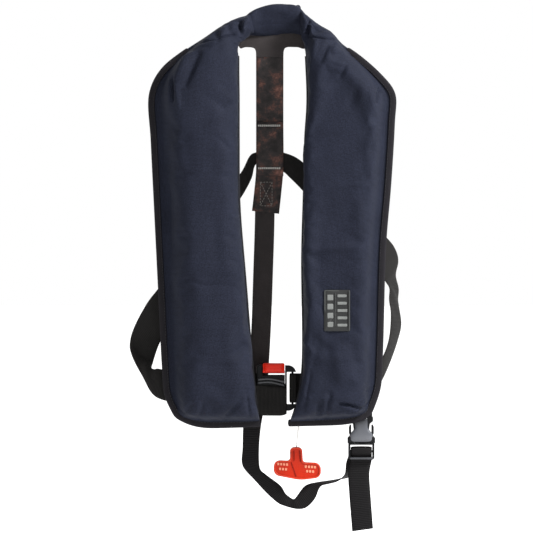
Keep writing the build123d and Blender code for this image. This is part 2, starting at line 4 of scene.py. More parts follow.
import bmesh
import bpy
import numpy as np
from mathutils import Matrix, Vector


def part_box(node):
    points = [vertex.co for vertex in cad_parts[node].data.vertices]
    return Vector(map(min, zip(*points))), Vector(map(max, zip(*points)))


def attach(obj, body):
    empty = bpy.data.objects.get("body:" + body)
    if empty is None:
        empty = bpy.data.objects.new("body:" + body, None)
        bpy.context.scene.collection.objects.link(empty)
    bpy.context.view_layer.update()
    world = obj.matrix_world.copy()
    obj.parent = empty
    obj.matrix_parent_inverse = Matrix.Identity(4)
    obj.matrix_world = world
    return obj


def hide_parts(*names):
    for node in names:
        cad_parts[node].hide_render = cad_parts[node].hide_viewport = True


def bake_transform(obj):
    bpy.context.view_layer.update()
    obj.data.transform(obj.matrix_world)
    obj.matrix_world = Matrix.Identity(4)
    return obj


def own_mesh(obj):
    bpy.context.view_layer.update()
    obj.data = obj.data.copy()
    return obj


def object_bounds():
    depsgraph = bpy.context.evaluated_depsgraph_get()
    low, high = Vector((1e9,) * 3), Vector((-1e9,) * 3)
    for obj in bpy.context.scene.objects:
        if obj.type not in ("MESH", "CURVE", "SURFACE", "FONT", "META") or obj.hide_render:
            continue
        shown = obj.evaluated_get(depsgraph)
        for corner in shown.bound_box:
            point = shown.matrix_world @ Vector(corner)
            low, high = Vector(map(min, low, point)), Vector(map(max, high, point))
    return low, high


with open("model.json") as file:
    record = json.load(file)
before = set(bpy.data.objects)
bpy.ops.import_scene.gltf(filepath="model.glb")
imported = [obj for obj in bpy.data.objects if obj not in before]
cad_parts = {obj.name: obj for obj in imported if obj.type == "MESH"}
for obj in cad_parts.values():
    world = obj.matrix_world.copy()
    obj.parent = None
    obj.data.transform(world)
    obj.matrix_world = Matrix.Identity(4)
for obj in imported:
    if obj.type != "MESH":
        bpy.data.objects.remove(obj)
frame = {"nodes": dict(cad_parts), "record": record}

# Inflatable life jacket. Lengths are millimetres until a mesh is made.
# +Z is up, +X is to the viewer's right and the front faces -Y.
MM = 0.001
BACKWARDS = (0.0, 1.0, 0.0)
CAD_LOW, CAD_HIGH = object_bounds()
SCENE = bpy.context.scene

# ---- camera ---------------------------------------------------------------
VIEW_CENTRE = (-7.5, -10.0, -298.5)
VIEW_SIDE = 725.0
VIEW_DISTANCE = 4500.0
SENSOR = 36.0

camera_data = bpy.data.cameras.new("camera")
camera_data.sensor_width = SENSOR
camera_data.lens = SENSOR * VIEW_DISTANCE / VIEW_SIDE
camera = bpy.data.objects.new("camera", camera_data)
camera.location = [MM * c for c in VIEW_CENTRE]
camera.location.y -= MM * VIEW_DISTANCE
camera.rotation_euler = (math.radians(90), 0, 0)
SCENE.collection.objects.link(camera)
SCENE.camera = camera


# ---- materials ------------------------------------------------------------
class Graph:
    """Short names for building one material's nodes."""

    def __init__(self, name, colour, roughness, coords="UV"):
        self.material = bpy.data.materials.new(name)
        self.material.use_nodes = True
        self.tree = self.material.node_tree
        self.shader = self.tree.nodes["Principled BSDF"]
        self.set(Base_Color=(*colour, 1), Roughness=roughness)
        self.space = self.tree.nodes.new("ShaderNodeTexCoord").outputs[coords]

    def fill(self, node, values):
        """Sets a node's inputs by name; a value that is another node's output is linked."""
        for name, value in values.items():
            socket = node.inputs[name] if isinstance(name, int) else node.inputs[name.replace("_", " ")]
            if isinstance(value, bpy.types.NodeSocket):
                self.tree.links.new(value, socket)
            else:
                socket.default_value = value

    def set(self, **values):
        self.fill(self.shader, values)

    def add(self, kind, **values):
        node = self.tree.nodes.new("ShaderNode" + kind)
        self.fill(node, values)
        return node

    def mapped(self, scale):
        return self.add("Mapping", Vector=self.space, Scale=scale).outputs["Vector"]

    def noise(self, scale, detail=3.0, rough=0.55, stretch=(1, 1, 1)):
        node = self.add("TexNoise", Vector=self.mapped(stretch), Scale=scale, Detail=detail, Roughness=rough)
        return node.outputs["Fac"]

    def wave(self, pitch, direction, distortion):
        """Even bands, one in each pitch (metres)."""
        node = self.add("TexWave", Vector=self.mapped((1, 1, 1)), Scale=math.tau / (20 * pitch),
                        Distortion=distortion, Detail=1.0)
        node.bands_direction = direction
        return node.outputs["Fac"]

    def maths(self, kind, a, b):
        node = self.add("Math")
        node.operation = kind
        self.fill(node, {0: a, 1: b})
        return node.outputs[0]

    def total(self, *parts):
        """Sum of factors, each with its share."""
        result = self.maths("MULTIPLY", *parts[0])
        for part in parts[1:]:
            result = self.maths("ADD", result, self.maths("MULTIPLY", *part))
        return result

    def colour(self, factor, stops):
        """Base colour that goes with a factor, through stops of place and colour."""
        node = self.add("ValToRGB", Fac=factor)
        ramp = node.color_ramp
        for k, (place, colour) in enumerate(stops):
            stop = ramp.elements[k] if k < 2 else ramp.elements.new(place)
            stop.position = place
            stop.color = (*colour, 1)
        self.set(Base_Color=node.outputs["Color"])

    def height(self, low, high):
        """0 at the height low to 1 at the height high, in metres."""
        node = self.add("SeparateXYZ", Vector=self.space)
        return self.maths("DIVIDE", self.maths("SUBTRACT", node.outputs["Z"], low), high - low)

    def rough(self, factor, low, high):
        """Roughness from low to high with a factor."""
        self.set(Roughness=self.maths("ADD", self.maths("MULTIPLY", factor, high - low), low))

    def bump(self, height, distance, strength):
        node = self.add("Bump", Height=height, Distance=distance, Strength=strength)
        self.set(Normal=node.outputs["Normal"])


def shade(colour, factor):
    return tuple(min(1.0, c * factor) for c in colour)


def woven(name, colour, pitch, rough, contrast, bump=0.0003, coords="UV"):
    """Plain weave: threads cross at the pitch, with slubs and broad colour drift."""
    g = Graph(name, colour, rough, coords)
    weave = g.maths("MULTIPLY", g.wave(pitch, "X", 1.2), g.wave(pitch, "Y", 1.2))
    slub = g.noise(560, 2, 0.7)
    g.colour(g.total((weave, 0.30), (slub, 0.60), (g.noise(28, 3), 0.16)),
             [(0.34, shade(colour, 1 - contrast)), (0.62, shade(colour, 1 + contrast))])
    g.rough(slub, rough - 0.08, rough + 0.1)
    g.bump(g.total((weave, 1), (slub, 0.5)), bump, 0.7)
    g.set(Sheen_Weight=0.012, Sheen_Roughness=0.45, Sheen_Tint=(0.6, 0.65, 0.75, 1), Specular_IOR_Level=0.05)
    return g.material


def webbing(name, colour, rib, rough=0.6, contrast=0.5, brown=None):
    """Ribs across the strap and fine threads along it; brown is the colour of the blotches that its noise
    lays over it.
    """
    g = Graph(name, colour, rough)
    ribs = g.wave(rib, "Y", 0.25)
    slub = g.noise(500, 3)
    drift = g.noise(45, 4, 0.65)
    dark, light = shade(colour, 1 - contrast), shade(colour, 1 + contrast)
    if brown:
        g.colour(g.total((drift, 0.85), (slub, 0.15)),
                 [(0.40, dark), (0.50, light), (0.57, shade(brown, 0.35)), (0.68, brown)])
        g.rough(drift, rough + 0.2, rough - 0.2)
    else:
        g.colour(g.total((ribs, 0.5), (slub, 0.3), (drift, 0.25)), [(0.3, dark), (0.75, light)])
        g.rough(slub, rough - 0.1, rough + 0.12)
    g.bump(g.total((ribs, 1), (g.wave(0.0011, "X", 0.6), 0.3)), 0.00035, 0.8)
    g.set(Specular_IOR_Level=0.22 if brown else 0.06)
    return g.material


def moulded(name, colour, rough, grain=1500, bump=0.00005, specular=0.22):
    """Moulded plastic with a fine spark-eroded grain and slight flow marks."""
    g = Graph(name, colour, rough, "Object")
    fine = g.noise(grain, 2)
    flow = g.noise(60, 2, 0.5, (1, 1, 0.3))
    g.colour(g.total((fine, 0.4), (flow, 0.6)),
             [(0.3, shade(colour, 0.82)), (0.7, shade(colour, 1.15))])
    g.rough(flow, rough - 0.06, rough + 0.1)
    g.bump(fine, bump, 0.6)
    g.set(Specular_IOR_Level=specular)
    return g.material


def highlight_painted_face(name, low, high):
    """Black plastic with a painted highlight, bright from the height low and dark again at the height high
    (metres).
    """
    g = Graph(name, (0.026, 0.0275, 0.032), 0.3, "Object")
    g.colour(g.height(low, high), [
        (0.1, (0.0620, 0.0650, 0.0740)), (0.5, (0.0470, 0.0495, 0.0570)), (0.95, (0.0075, 0.0080, 0.0095)),
    ])
    g.bump(g.noise(1500, 2), 0.00005, 0.6)
    g.set(Specular_IOR_Level=0.4)
    return g.material


def metal(name, colour, rough=0.3):
    """Metal with a brushed grain along its height."""
    g = Graph(name, colour, rough, "Object")
    brushed = g.noise(300, 3, 0.6, (1, 1, 0.05))
    g.colour(brushed, [(0.3, shade(colour, 0.85)), (0.7, shade(colour, 1.1))])
    g.rough(brushed, rough - 0.08, rough + 0.12)
    g.bump(brushed, 0.00004, 0.5)
    g.set(Metallic=1.0)
    return g.material


cover_cloth = woven("cover_cloth", (0.0100, 0.0116, 0.0196), 0.0016, 0.7, 0.55)
lining_cloth = woven("lining_cloth", (0.014, 0.014, 0.016), 0.0014, 0.85, 0.4)
binding_cloth = webbing("binding_cloth", (0.0102, 0.0094, 0.0112), 0.0012, 0.75)
belt_cloth = webbing("belt_cloth", (0.0082, 0.0077, 0.0074), 0.0018)
plain_cloth = webbing("plain_cloth", (0.0260, 0.0225, 0.0225), 0.0013, 0.6, 0.6)
back_cloth = webbing("back_cloth", (0.0110, 0.0080, 0.0078), 0.0013, 0.5, brown=(0.165, 0.068, 0.050))
crotch_cloth = webbing("crotch_cloth", (0.0054, 0.0050, 0.0053), 0.0024)
thread_cloth = woven("thread_cloth", (0.36, 0.35, 0.33), 0.0006, 0.6, 0.2, coords="Object")
pale_thread = woven("pale_thread", (0.19, 0.18, 0.165), 0.0006, 0.6, 0.2, coords="Object")
dark_thread = woven("dark_thread", (0.03, 0.03, 0.034), 0.0006, 0.6, 0.2, coords="Object")
cord_cloth = woven("cord_cloth", (0.62, 0.61, 0.59), 0.0008, 0.6, 0.15)
bladder_cloth = woven("bladder_cloth", (0.75, 0.5, 0.03), 0.0012, 0.5, 0.2, coords="Object")
loop_cloth = woven("loop_cloth", (0.02, 0.02, 0.02), 0.0009, 0.95, 0.5, 0.0006, "Object")
becket_cloth = woven("becket_cloth", (0.7, 0.7, 0.68), 0.0015, 0.7, 0.2, coords="Object")
reflective_cloth = woven("reflective_cloth", (0.6, 0.61, 0.63), 0.002, 0.35, 0.15, coords="Object")
black_plastic = moulded("black_plastic", (0.0045, 0.0047, 0.0052), 0.36, specular=0.09)
grey_plastic = moulded("grey_plastic", (0.16, 0.165, 0.17), 0.42)
red_plastic = moulded("red_plastic", (0.50, 0.0125, 0.0030), 0.34, specular=0.18)
orange_plastic = moulded("orange_plastic", (0.300, 0.0125, 0.0019), 0.42, specular=0.12)
# Light grey plastic: painted glints on the crotch plug's bar and the waist housing's ridges, which are black.
glint_painted_plastic = moulded("glint_painted_plastic", (0.022, 0.0233, 0.0270), 0.3, specular=0.4)
# Painted highlight on the crotch buckle's black face: light low down, dark at its top.
buckle_face = highlight_painted_face("highlight_painted_face", -0.538, -0.503)
orange_light = moulded("orange_light", (0.50, 0.17, 0.10), 0.5)
orange_rim = moulded("orange_rim", (0.36, 0.026, 0.007), 0.4, specular=0.2)
# Dark orange: painted shade for the channels on the handle.
orange_channel_shade = moulded("orange_channel_shade", (0.13, 0.005, 0.002), 0.5, specular=0.1)
yellow_plastic = moulded("yellow_plastic", (0.8, 0.5, 0.02), 0.35)
badge_rubber = moulded("badge_rubber", (0.030, 0.032, 0.031), 0.6, 900, 0.0001)
badge_dark = moulded("badge_dark", (0.010, 0.0105, 0.0105), 0.6, 900, 0.0001)
badge_light = moulded("badge_light", (0.105, 0.11, 0.105), 0.5, 900, 0.0001)
tube_rubber = moulded("tube_rubber", (0.02, 0.02, 0.02), 0.6)
tablet_white = moulded("tablet_white", (0.75, 0.74, 0.7), 0.7)
green_plastic = moulded("green_plastic", (0.04, 0.4, 0.08), 0.4)
steel = metal("steel", (0.55, 0.56, 0.58))

SLOT_MATERIALS = {
    "cover_fabric": cover_cloth, "lining_fabric": lining_cloth, "binding_tape": binding_cloth,
    "belt_webbing": belt_cloth, "back_webbing": back_cloth, "crotch_webbing": crotch_cloth,
    "thread": thread_cloth, "bladder_fabric": bladder_cloth, "hook_and_loop": loop_cloth,
    "reflective": reflective_cloth, "becket_webbing": becket_cloth, "buckle_plastic": black_plastic,
    "red_plastic": red_plastic, "badge_rubber": badge_rubber, "cord": cord_cloth,
    "inflator_plastic": grey_plastic, "yellow_plastic": yellow_plastic, "tube_rubber": tube_rubber,
    "steel": steel, "tablet": tablet_white,
}
for part in frame["record"]["subparts"]:
    node = frame["nodes"][part["node"]]
    node.data.materials.clear()
    node.data.materials.append(SLOT_MATERIALS[part["material_slot"]])
frame["nodes"]["status_indicator"].data.materials[0] = green_plastic


# ---- curves and meshes ----------------------------------------------------
def smooth_run(points, step):
    """Smooth run through points of any dimension, sampled about every step."""
    p = np.array(points, float)
    chord = np.linalg.norm(np.diff(p, axis=0), axis=1)
    h = np.sqrt(chord) + 1e-6
    slope = np.diff(p, axis=0) / h[:, None]
    m = np.empty_like(p)
    m[0], m[-1] = slope[0], slope[-1]
    m[1:-1] = (slope[:-1] * h[1:, None] + slope[1:] * h[:-1, None]) / (h[:-1] + h[1:])[:, None]
    rows = []
    for i in range(len(h)):
        count = max(2, math.ceil(chord[i] / step))
        t = (np.arange(count) / count)[:, None]
        rows.append(
            (2 * t**3 - 3 * t**2 + 1) * p[i] + (t**3 - 2 * t**2 + t) * h[i] * m[i]
            + (3 * t**2 - 2 * t**3) * p[i + 1] + (t**3 - t**2) * h[i] * m[i + 1]
        )
    return np.vstack([*rows, p[-1:]])


def lengths(line):
    """Distance along a line of points to each of them."""
    return np.concatenate([[0], np.cumsum(np.linalg.norm(np.diff(line, axis=0), axis=1))])


def unit(v):
    return v / np.maximum(np.linalg.norm(v, axis=-1, keepdims=True), 1e-9)


def make_piece(name, points, faces, uvs, material, smooth=True):
    """Mesh object from points and one UV for each point."""
    mesh = bpy.data.meshes.new(name)
    mesh.from_pydata((np.asarray(points) * MM).tolist(), [], faces)
    if uvs is not None:
        layer = mesh.uv_layers.new(name="UVMap")
        corners = np.zeros(len(mesh.loops), np.int64)
        mesh.loops.foreach_get("vertex_index", corners)
        layer.data.foreach_set("uv", (np.asarray(uvs) * MM)[corners].astype(np.float32).ravel())
    mesh.polygons.foreach_set("use_smooth", [smooth] * len(mesh.polygons))
    mesh.materials.append(material)
    piece = bpy.data.objects.new(name, mesh)
    SCENE.collection.objects.link(piece)
    return piece


def place(piece, body, slot, *nodes):
    """Puts a piece on a body, in place of the CAD nodes that it stands for."""
    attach(piece, body)
    if nodes:
        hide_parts(*nodes)
    return piece


def tube_faces(rows, around, capped=True):
    """Quads of closed loops joined row to row."""
    faces = []
    for j in range(rows - 1):
        for i in range(around):
            k = (i + 1) % around
            faces.append((j * around + i, j * around + k, (j + 1) * around + k, (j + 1) * around + i))
    if capped:
        faces.append(tuple(range(around))[::-1])
        faces.append(tuple((rows - 1) * around + i for i in range(around)))
    return faces


def stack(*parts):
    """Arrays and numbers, broadcast together, as the last axis of one array."""
    return np.stack(np.broadcast_arrays(*parts), -1)


def tube(name, rows, uvs, material, capped=True):
    """Piece from rows of points, each row a closed loop."""
    faces = tube_faces(*rows.shape[:2], capped)
    return make_piece(name, rows.reshape(-1, 3), faces, uvs.reshape(-1, 2), material)


def circle(count, radius, other_radius=None):
    """Points of a round section, or of an oval one with its other radius."""
    angle = np.arange(count) * math.tau / count
    return np.stack([radius * np.cos(angle), (other_radius or radius) * np.sin(angle)], -1)


def sweep_section(name, path, sideways, outward, section, material):
    """Closed section carried along a path; sideways and outward are its axes at each point."""
    section = np.array(section, float)
    rows = path[:, None] + section[None, :, :1] * sideways[:, None] + section[None, :, 1:] * outward[:, None]
    run = lengths(path)
    around = lengths(section)
    return tube(name, rows, stack(around[None], run[:, None]), material)


def level_sweep(name, run, section, material, depth=0.0, inset=0.0, turn=1):
    """Section swept along a run of X and Z at one depth; also its path and the way inwards.

    Turn 1 has the inside on the left of the run, and -1 has it on the right.
    """
    along = unit(np.gradient(run, axis=0))
    inward = turn * stack(-along[:, 1], 0.0, along[:, 0])
    path = stack(run[:, 0], depth, run[:, 1]) + inset * inward
    piece = sweep_section(name, path, inward, np.broadcast_to(BACKWARDS, path.shape), section, material)
    return piece, path, inward


def ribbon(name, stations, material, thickness=1.6, step=4.0, across=10, ripple=None, cup=0.0):
    """Webbing through stations, each the two edge points of the strap there."""
    line = smooth_run([[*a, *b] for a, b in stations], step)
    left, right = line[:, :3], line[:, 3:]
    middle = (left + right) / 2
    normal = unit(np.cross(np.gradient(middle, axis=0), right - left))
    run = lengths(middle)
    width = np.linalg.norm(right - left, axis=1)
    s = np.linspace(0, 1, across + 1)
    half = thickness / 2 * (1 - 0.45 * np.abs(2 * s - 1) ** 8)
    half[[0, -1]] *= 0.5
    lift = cup * (1 - (2 * s[None] - 1) ** 2) + np.zeros((len(run), 1))
    if ripple:
        lift += ripple(run[:, None], s[None])
    base = left[:, None] + (right - left)[:, None] * s[None, :, None]
    front = base + normal[:, None] * (lift + half[None])[..., None]
    back = base + normal[:, None] * (lift - half[None])[..., None]
    rows = np.concatenate([front, back[:, ::-1]], 1)
    u = np.concatenate([s, 2 - s[::-1] + 0.02])
    return tube(name, rows, stack(u[None] * width.mean(), run[:, None]), material)


def stitches(name, runs, material, length, gap, radius):
    """Short thread bumps laid along runs of points."""
    points, faces = [], []
    ring = circle(6, 1.0)
    for run in runs:
        run = np.array(run, float)
        place_at = lengths(run)
        spots = np.arange(length / 2, place_at[-1] - length / 2 + 1e-6, length + gap)
        for spot in spots:
            ends = [np.array([np.interp(spot + d, place_at, run[:, c]) for c in range(3)])
                    for d in (-length / 2, length / 2)]
            axis = unit(ends[1] - ends[0])
            side = unit(np.cross(axis, [0.0, 1.0, 0.0]))
            up = np.cross(axis, side)
            first = len(points)
            for t, size in ((0, 0.35), (0.2, 1), (0.8, 1), (1, 0.35)):
                centre = ends[0] * (1 - t) + ends[1] * t
                points.extend(centre + radius * size * (c * side + d * up) for c, d in ring)
            faces.extend([tuple(first + i for i in f) for f in tube_faces(4, 6)])
    return make_piece(name, points, faces, None, material)


def subdivide(piece, levels=1):
    modifier = piece.modifiers.new("smooth", "SUBSURF")
    modifier.levels = modifier.render_levels = levels


# ---- cord and handle ------------------------------------------------------
CORD_ROUTE = [
    (49.5, -24.0, -441.0), (48.6, -23.6, -457.0), (45.0, -15.0, -476.0),
    (41.0, -2.5, -491.5), (38.0, 5.0, -504.0), (35.4, 6.0, -522.0),
    (33.5, 6.0, -545.0),
]
CORD_DIAMETER = 2.0


def spline_points(control_points):
    """Points along the smooth NURBS line that a route's points control."""
    curve = bpy.data.curves.new("cord_route", "CURVE")
    curve.dimensions = "3D"
    spline = curve.splines.new("NURBS")
    spline.points.add(len(control_points) - 1)
    for point, (x, y, z) in zip(spline.points, control_points):
        point.co = (MM * x, MM * y, MM * z, 1)
    spline.order_u = 3
    spline.use_endpoint_u = True
    guide = bpy.data.objects.new("cord_route", curve)
    SCENE.collection.objects.link(guide)
    line = bpy.data.meshes.new_from_object(guide)
    bpy.data.objects.remove(guide)
    return np.array([v.co for v in line.vertices]) / MM


cord_line = spline_points(CORD_ROUTE)
cord_axis = unit(np.gradient(cord_line, axis=0))
cord_side = unit(np.cross(cord_axis, [1.0, 0.0, 0.0]))
white_cord = sweep_section("white_cord", cord_line, cord_side, np.cross(cord_axis, cord_side),
                           circle(12, CORD_DIAMETER / 2), cord_cloth)
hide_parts("pull_cord")
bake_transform(white_cord)


# ---- springs --------------------------------------------------------------
def spring(name, node, turns, wire):
    """Coil in place of the CAD one, which gets shorter as its joint moves; this coil is not made to shorten.
    """
    low, high = (np.array(corner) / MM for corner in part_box(node))
    middle = (low + high) / 2
    radius = (high[0] - low[0]) / 2 - wire
    angle = np.linspace(0, turns * math.tau, round(turns * 24) + 1)
    out = np.stack([np.cos(angle), np.sin(angle), 0 * angle], -1)
    line = radius * out + [middle[0], middle[1], 0]
    line[:, 2] = np.linspace(low[2] + wire, high[2] - wire, len(line))
    across = np.cross(unit(np.gradient(line, axis=0)), out)
    piece = sweep_section(name, line, out, across, circle(12, wire), steel)
    place(piece, "jacket", "steel", node)
    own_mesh(piece)


spring("firing_spring_coil", "firing_spring", 6.5, 0.6)
spring("valve_spring_coil", "valve_spring", 3.8, 0.5)

# ---- lobes ----------------------------------------------------------------
# Each station has the inner edge (x, z), the outer edge (x, z), and there the
# depth of the tube's back, its thickness and the width of its flat flange.
LEFT_STATIONS = [
    (-23, 22, -27, 47.5, 22, 33, 0), (-36, 11, -60, 35, 12, 38, 0), (-44.5, 2, -95, 12, 4, 41, 2),
    (-43.8, -14, -122, -6, 0, 43, 8), (-43.5, -38, -150, -29, 0, 44, 14),
    (-43, -70, -166.5, -62, 0, 44, 19), (-43, -125, -164.3, -125, 0, 44, 19),
    (-42, -213, -160, -213, 0, 44, 19), (-33.5, -320, -154.7, -320, 0, 44, 19),
    (-24, -435, -149, -435, 0, 44, 19), (-19.5, -480, -145.5, -474, 0, 43, 17),
    (-15, -516, -132, -504, 0, 42, 12),
]
LEFT_HEM = [(-15, -516), (-55, -517.3), (-92, -517.5), (-112, -513.5), (-132, -504)]
RIGHT_STATIONS = [
    (38, 22, 36.5, 54.5, 22, 33, 0), (40.5, 12, 63, 32.6, 14, 37, 0), (42.5, 3, 83, 19.5, 6, 40, 0),
    (44, -9, 96, 5, 1, 42, 3), (45, -30, 118, -10.5, 0, 43, 10), (46, -60, 148, -37, 0, 44, 15),
    (45.5, -85, 167, -62, 0, 44, 17), (43, -121, 166.5, -100, 0, 44, 17),
    (41, -200, 161.5, -185, 0, 44, 17), (38.8, -283, 154.5, -270, 0, 44, 17),
    (38.8, -440, 150, -420, 0, 44, 17), (31, -485, 147, -465, 0, 43, 16),
    (21.5, -515.5, 135, -500, 0, 42, 12),
]
RIGHT_HEM = [(21.5, -515.5), (60, -514.6), (98, -513), (120, -508.5), (135, -500)]

# Creases and folds in a cover's front, each a line (x0, z0, x1, z1) with its
# half width and its depth; a negative depth is a fold that stands out.
LEFT_CREASES = [
    (-52, 15.6, -97, 5, 1.6, 2.6), (-97, 5, -132, -20, 1.5, 1.4),
    (-136.5, -40, -134.6, -74, 2.2, 6.5), (-130, -52, -126, -84, 4, -2.4),
    (-112, -8, -130, -46, 5, -3.6), (-99, -10, -118, -54, 5, 4.4), (-143, -38, -151, -54, 2.2, 3.2),
    (-44, 34, -41.6, 16, 2.4, 4.6), (-32, 42, -42.5, 17, 3.5, -3.0), (-60, 30, -56, 19, 3, 2.4),
    (-27.5, 43, -23, 22, 2.4, 4.0), (-76, 20, -72, 6, 4, 1.6),
    (-56, -232, -43, -229, 3.5, -1.6), (-50, -190, -43, -184, 3, 1.2),
    (-140, -150, -139, -300, 4, 1.8), (-64, -505, -40, -478, 4, 3.0),
    (-100, -507, -92, -484, 4, 2.6), (-30, -500, -34, -466, 3, 2.4), (-120, -500, -108, -484, 3.5, 2.2),
    (-78, -240, -74, -300, 9, 1.4), (-112, -330, -106, -410, 10, 1.6), (-60, -380, -52, -440, 9, -1.4),
    (-120, -110, -112, -170, 10, 1.4), (-66, -70, -60, -120, 9, 1.2), (-90, -452, -60, -470, 8, 1.4),
]
RIGHT_CREASES = [
    (48.4, 12.5, 93, 8, 1.6, 2.6), (50, 36, 46, 15, 2.6, 5.2), (46, 18, 45, -14, 3.5, 2.2),
    (77.5, 3, 65, -22, 4, 3.0), (88, 4, 82, -10, 3, -1.8), (101, -24, 91, -43, 3.5, 2.4),
    (147.5, -52, 142, -76, 2.2, 6.0), (137, -43, 141, -57, 2.4, 3.4), (133, -60, 138, -92, 5, -2.2),
    (60, 8, 55, -18, 4, -2.4), (36, 50, 38.5, 22, 2.4, 4.0), (118, -52, 104, -84, 7, 1.8),
    (74, -506, 78, -470, 3.5, 3.6), (92, -484, 122, -490, 2.2, 5.5), (104, -500, 128, -479, 6, -3.6),
    (122, -490, 142, -478, 2.2, 4.0), (60, -506, 66, -480, 4, 2.6), (128, -466, 143, -470, 3, 3.0),
    (60, -400, 50, -470, 7, 2.2), (84, -400, 92, -452, 8, -2.0), (108, -404, 118, -448, 8, 2.0),
    (44, -150, 52, -230, 8, 1.4), (132, -140, 126, -220, 9, 1.2), (66, -250, 58, -330, 9, 1.4),
    (140, -300, 134, -380, 7, 1.4), (50, -440, 42, -496, 4, 2.4),
]


def rise(distance, reach, power=2.6):
    """Superellipse from 0 at the edge to 1 at the reach and beyond."""
    t = 1 - np.clip(distance / np.maximum(reach, 1e-6), 0, 1)
    return (1 - t**power) ** (1 / power)


class Lobe:
    """Grid of one lobe with its shoulder, and the lines of its edges."""

    INNER_REACH, OUTER_REACH, HEM_REACH, FOLD_REACH = 26.0, 36.0, 34.0, 13.0
    SIDE_DEPTH = 15.0
    SKIN = 2.2
    FLANGE_FRONT = 4.0
    HEM_BAND = 9.0
    CROWN = 3.0

    def __init__(self, stations, hem, step=6.0, across=24):
        line = smooth_run(stations, step)
        self.inner, self.outer = line[:, 0:2], line[:, 2:4]
        self.base, self.depth, self.flange = line[:, 4], line[:, 5], line[:, 6]
        self.run = lengths((self.inner + self.outer) / 2)
        self.hem = smooth_run(hem, 4)
        s = np.linspace(0, 1, across + 1)
        self.s = 0.5 * s + 0.5 * (3 * s**2 - 2 * s**3)
        self.flat = self.grid()

    def grid(self):
        """X and Z of the grid, bulged near the hem to follow its curve."""
        s = self.s
        flat = self.inner[:, None] * (1 - s)[None, :, None] + self.outer[:, None] * s[None, :, None]
        share = lengths(self.hem) / lengths(self.hem)[-1]
        hem_row = np.stack([np.interp(s, share, self.hem[:, c]) for c in (0, 1)], -1)
        near = np.clip(1 - (self.run[-1] - self.run) / 70, 0, 1) ** 2
        return flat + near[:, None, None] * (hem_row - flat[-1])[None]

    def heights(self):
        """Depths of the front and the back surfaces over the flat grid."""
        width = np.linalg.norm(self.outer - self.inner, axis=1)[:, None]
        inwards = width * self.s[None]
        outwards = width * (1 - self.s)[None] - self.flange[:, None]
        to_hem = (self.run[-1] - self.run)[:, None]
        hem = rise(to_hem - self.HEM_BAND, self.HEM_REACH)
        fold = rise(self.run[:, None], self.FOLD_REACH, 2.0)
        inner = rise(inwards, np.minimum(self.INNER_REACH, 0.5 * width))
        outer = rise(outwards, np.minimum(self.OUTER_REACH, 0.5 * width))
        crown = self.CROWN * np.sin(np.pi * np.clip(self.s, 0, 1))[None]
        side = self.SIDE_DEPTH * hem * fold * np.minimum(1, width / 60)
        swell = (self.depth[:, None] - side - self.FLANGE_FRONT + crown) * inner
        swell = swell + side / np.maximum(hem * fold, 1e-6)
        front = self.base[:, None] - self.FLANGE_FRONT - swell * outer * hem * fold
        back = self.base[:, None] - self.SKIN - side * (1 - rise(inwards, 11 + 0 * width, 2.0))
        return front, back

    def build(self, name, material):
        """Closed tube of cloth around the grid, open at its two ends."""
        front, back = self.heights()
        rows, columns = front.shape
        points = np.concatenate([
            stack(self.flat[..., 0], front, self.flat[..., 1]),
            stack(self.flat[..., 0], back, self.flat[..., 1])[:, -2:0:-1],
        ], 1)
        around = points.shape[1]
        loop = np.concatenate([points, points[:, :1]], 1)
        u = np.concatenate([np.zeros((rows, 1)),
                            np.cumsum(np.linalg.norm(np.diff(loop, axis=1), axis=2), 1)], 1)[:, :-1]
        v = np.broadcast_to(self.run[:, None], u.shape)
        piece = tube(name, points, stack(u, v), material, capped=False)
        self.rows, self.around, self.columns = rows, around, columns
        return piece

    def pinned(self):
        """Share by which each point is held in the simulation."""
        width = np.linalg.norm(self.outer - self.inner, axis=1)[:, None]
        outwards = width * (1 - self.s)[None] - self.flange[:, None]
        hold = np.clip(1 - outwards / 5, 0, 1)
        to_hem = (self.run[-1] - self.run)[:, None]
        hold = np.maximum(hold, np.clip(1 - (to_hem - self.HEM_BAND) / 8, 0, 1))
        hold = np.maximum(hold, np.clip(1 - self.run[:, None] / 8, 0, 1))
        rear = np.ones((self.rows, self.around - self.columns))
        return np.concatenate([hold, rear], 1).ravel()


def read(items, attribute):
    """A vector attribute of a mesh's items as rows."""
    values = np.zeros(len(items) * 3)
    items.foreach_get(attribute, values)
    return values.reshape(-1, 3)


def inflate(piece, hold, pressure, cap, frames=20):
    """Cloth swells under pressure with some points held, each kept near its place."""
    mesh = piece.data
    rest = read(mesh.vertices, "co")
    group = piece.vertex_groups.new(name="held")
    for k, share in enumerate(hold):
        group.add([k], float(share), "REPLACE")
    cloth = piece.modifiers.new("cloth", "CLOTH")
    cloth.point_cache.frame_end = frames
    settings = cloth.settings
    settings.quality = 6
    settings.mass = 0.25
    settings.tension_stiffness = settings.compression_stiffness = 18
    settings.shear_stiffness = 6
    settings.bending_stiffness = 0.6
    settings.vertex_group_mass = "held"
    settings.shrink_min = -0.035
    settings.use_pressure = True
    settings.uniform_pressure_force = pressure
    settings.effector_weights.gravity = 0
    cloth.collision_settings.use_collision = False
    for number in range(1, frames + 1):
        SCENE.frame_set(number)
    settled = piece.evaluated_get(bpy.context.evaluated_depsgraph_get()).to_mesh()
    shift = read(settled.vertices, "co") - rest
    size = np.linalg.norm(shift, axis=1, keepdims=True)
    shift *= np.tanh(size / cap) * cap / np.maximum(size, 1e-9)
    piece.modifiers.remove(cloth)
    piece.vertex_groups.remove(group)
    mesh.vertices.foreach_set("co", (rest + shift).ravel())
    mesh.update()
    SCENE.frame_set(1)


CREASE_GAIN = 1.3
RIPPLE = 0.32


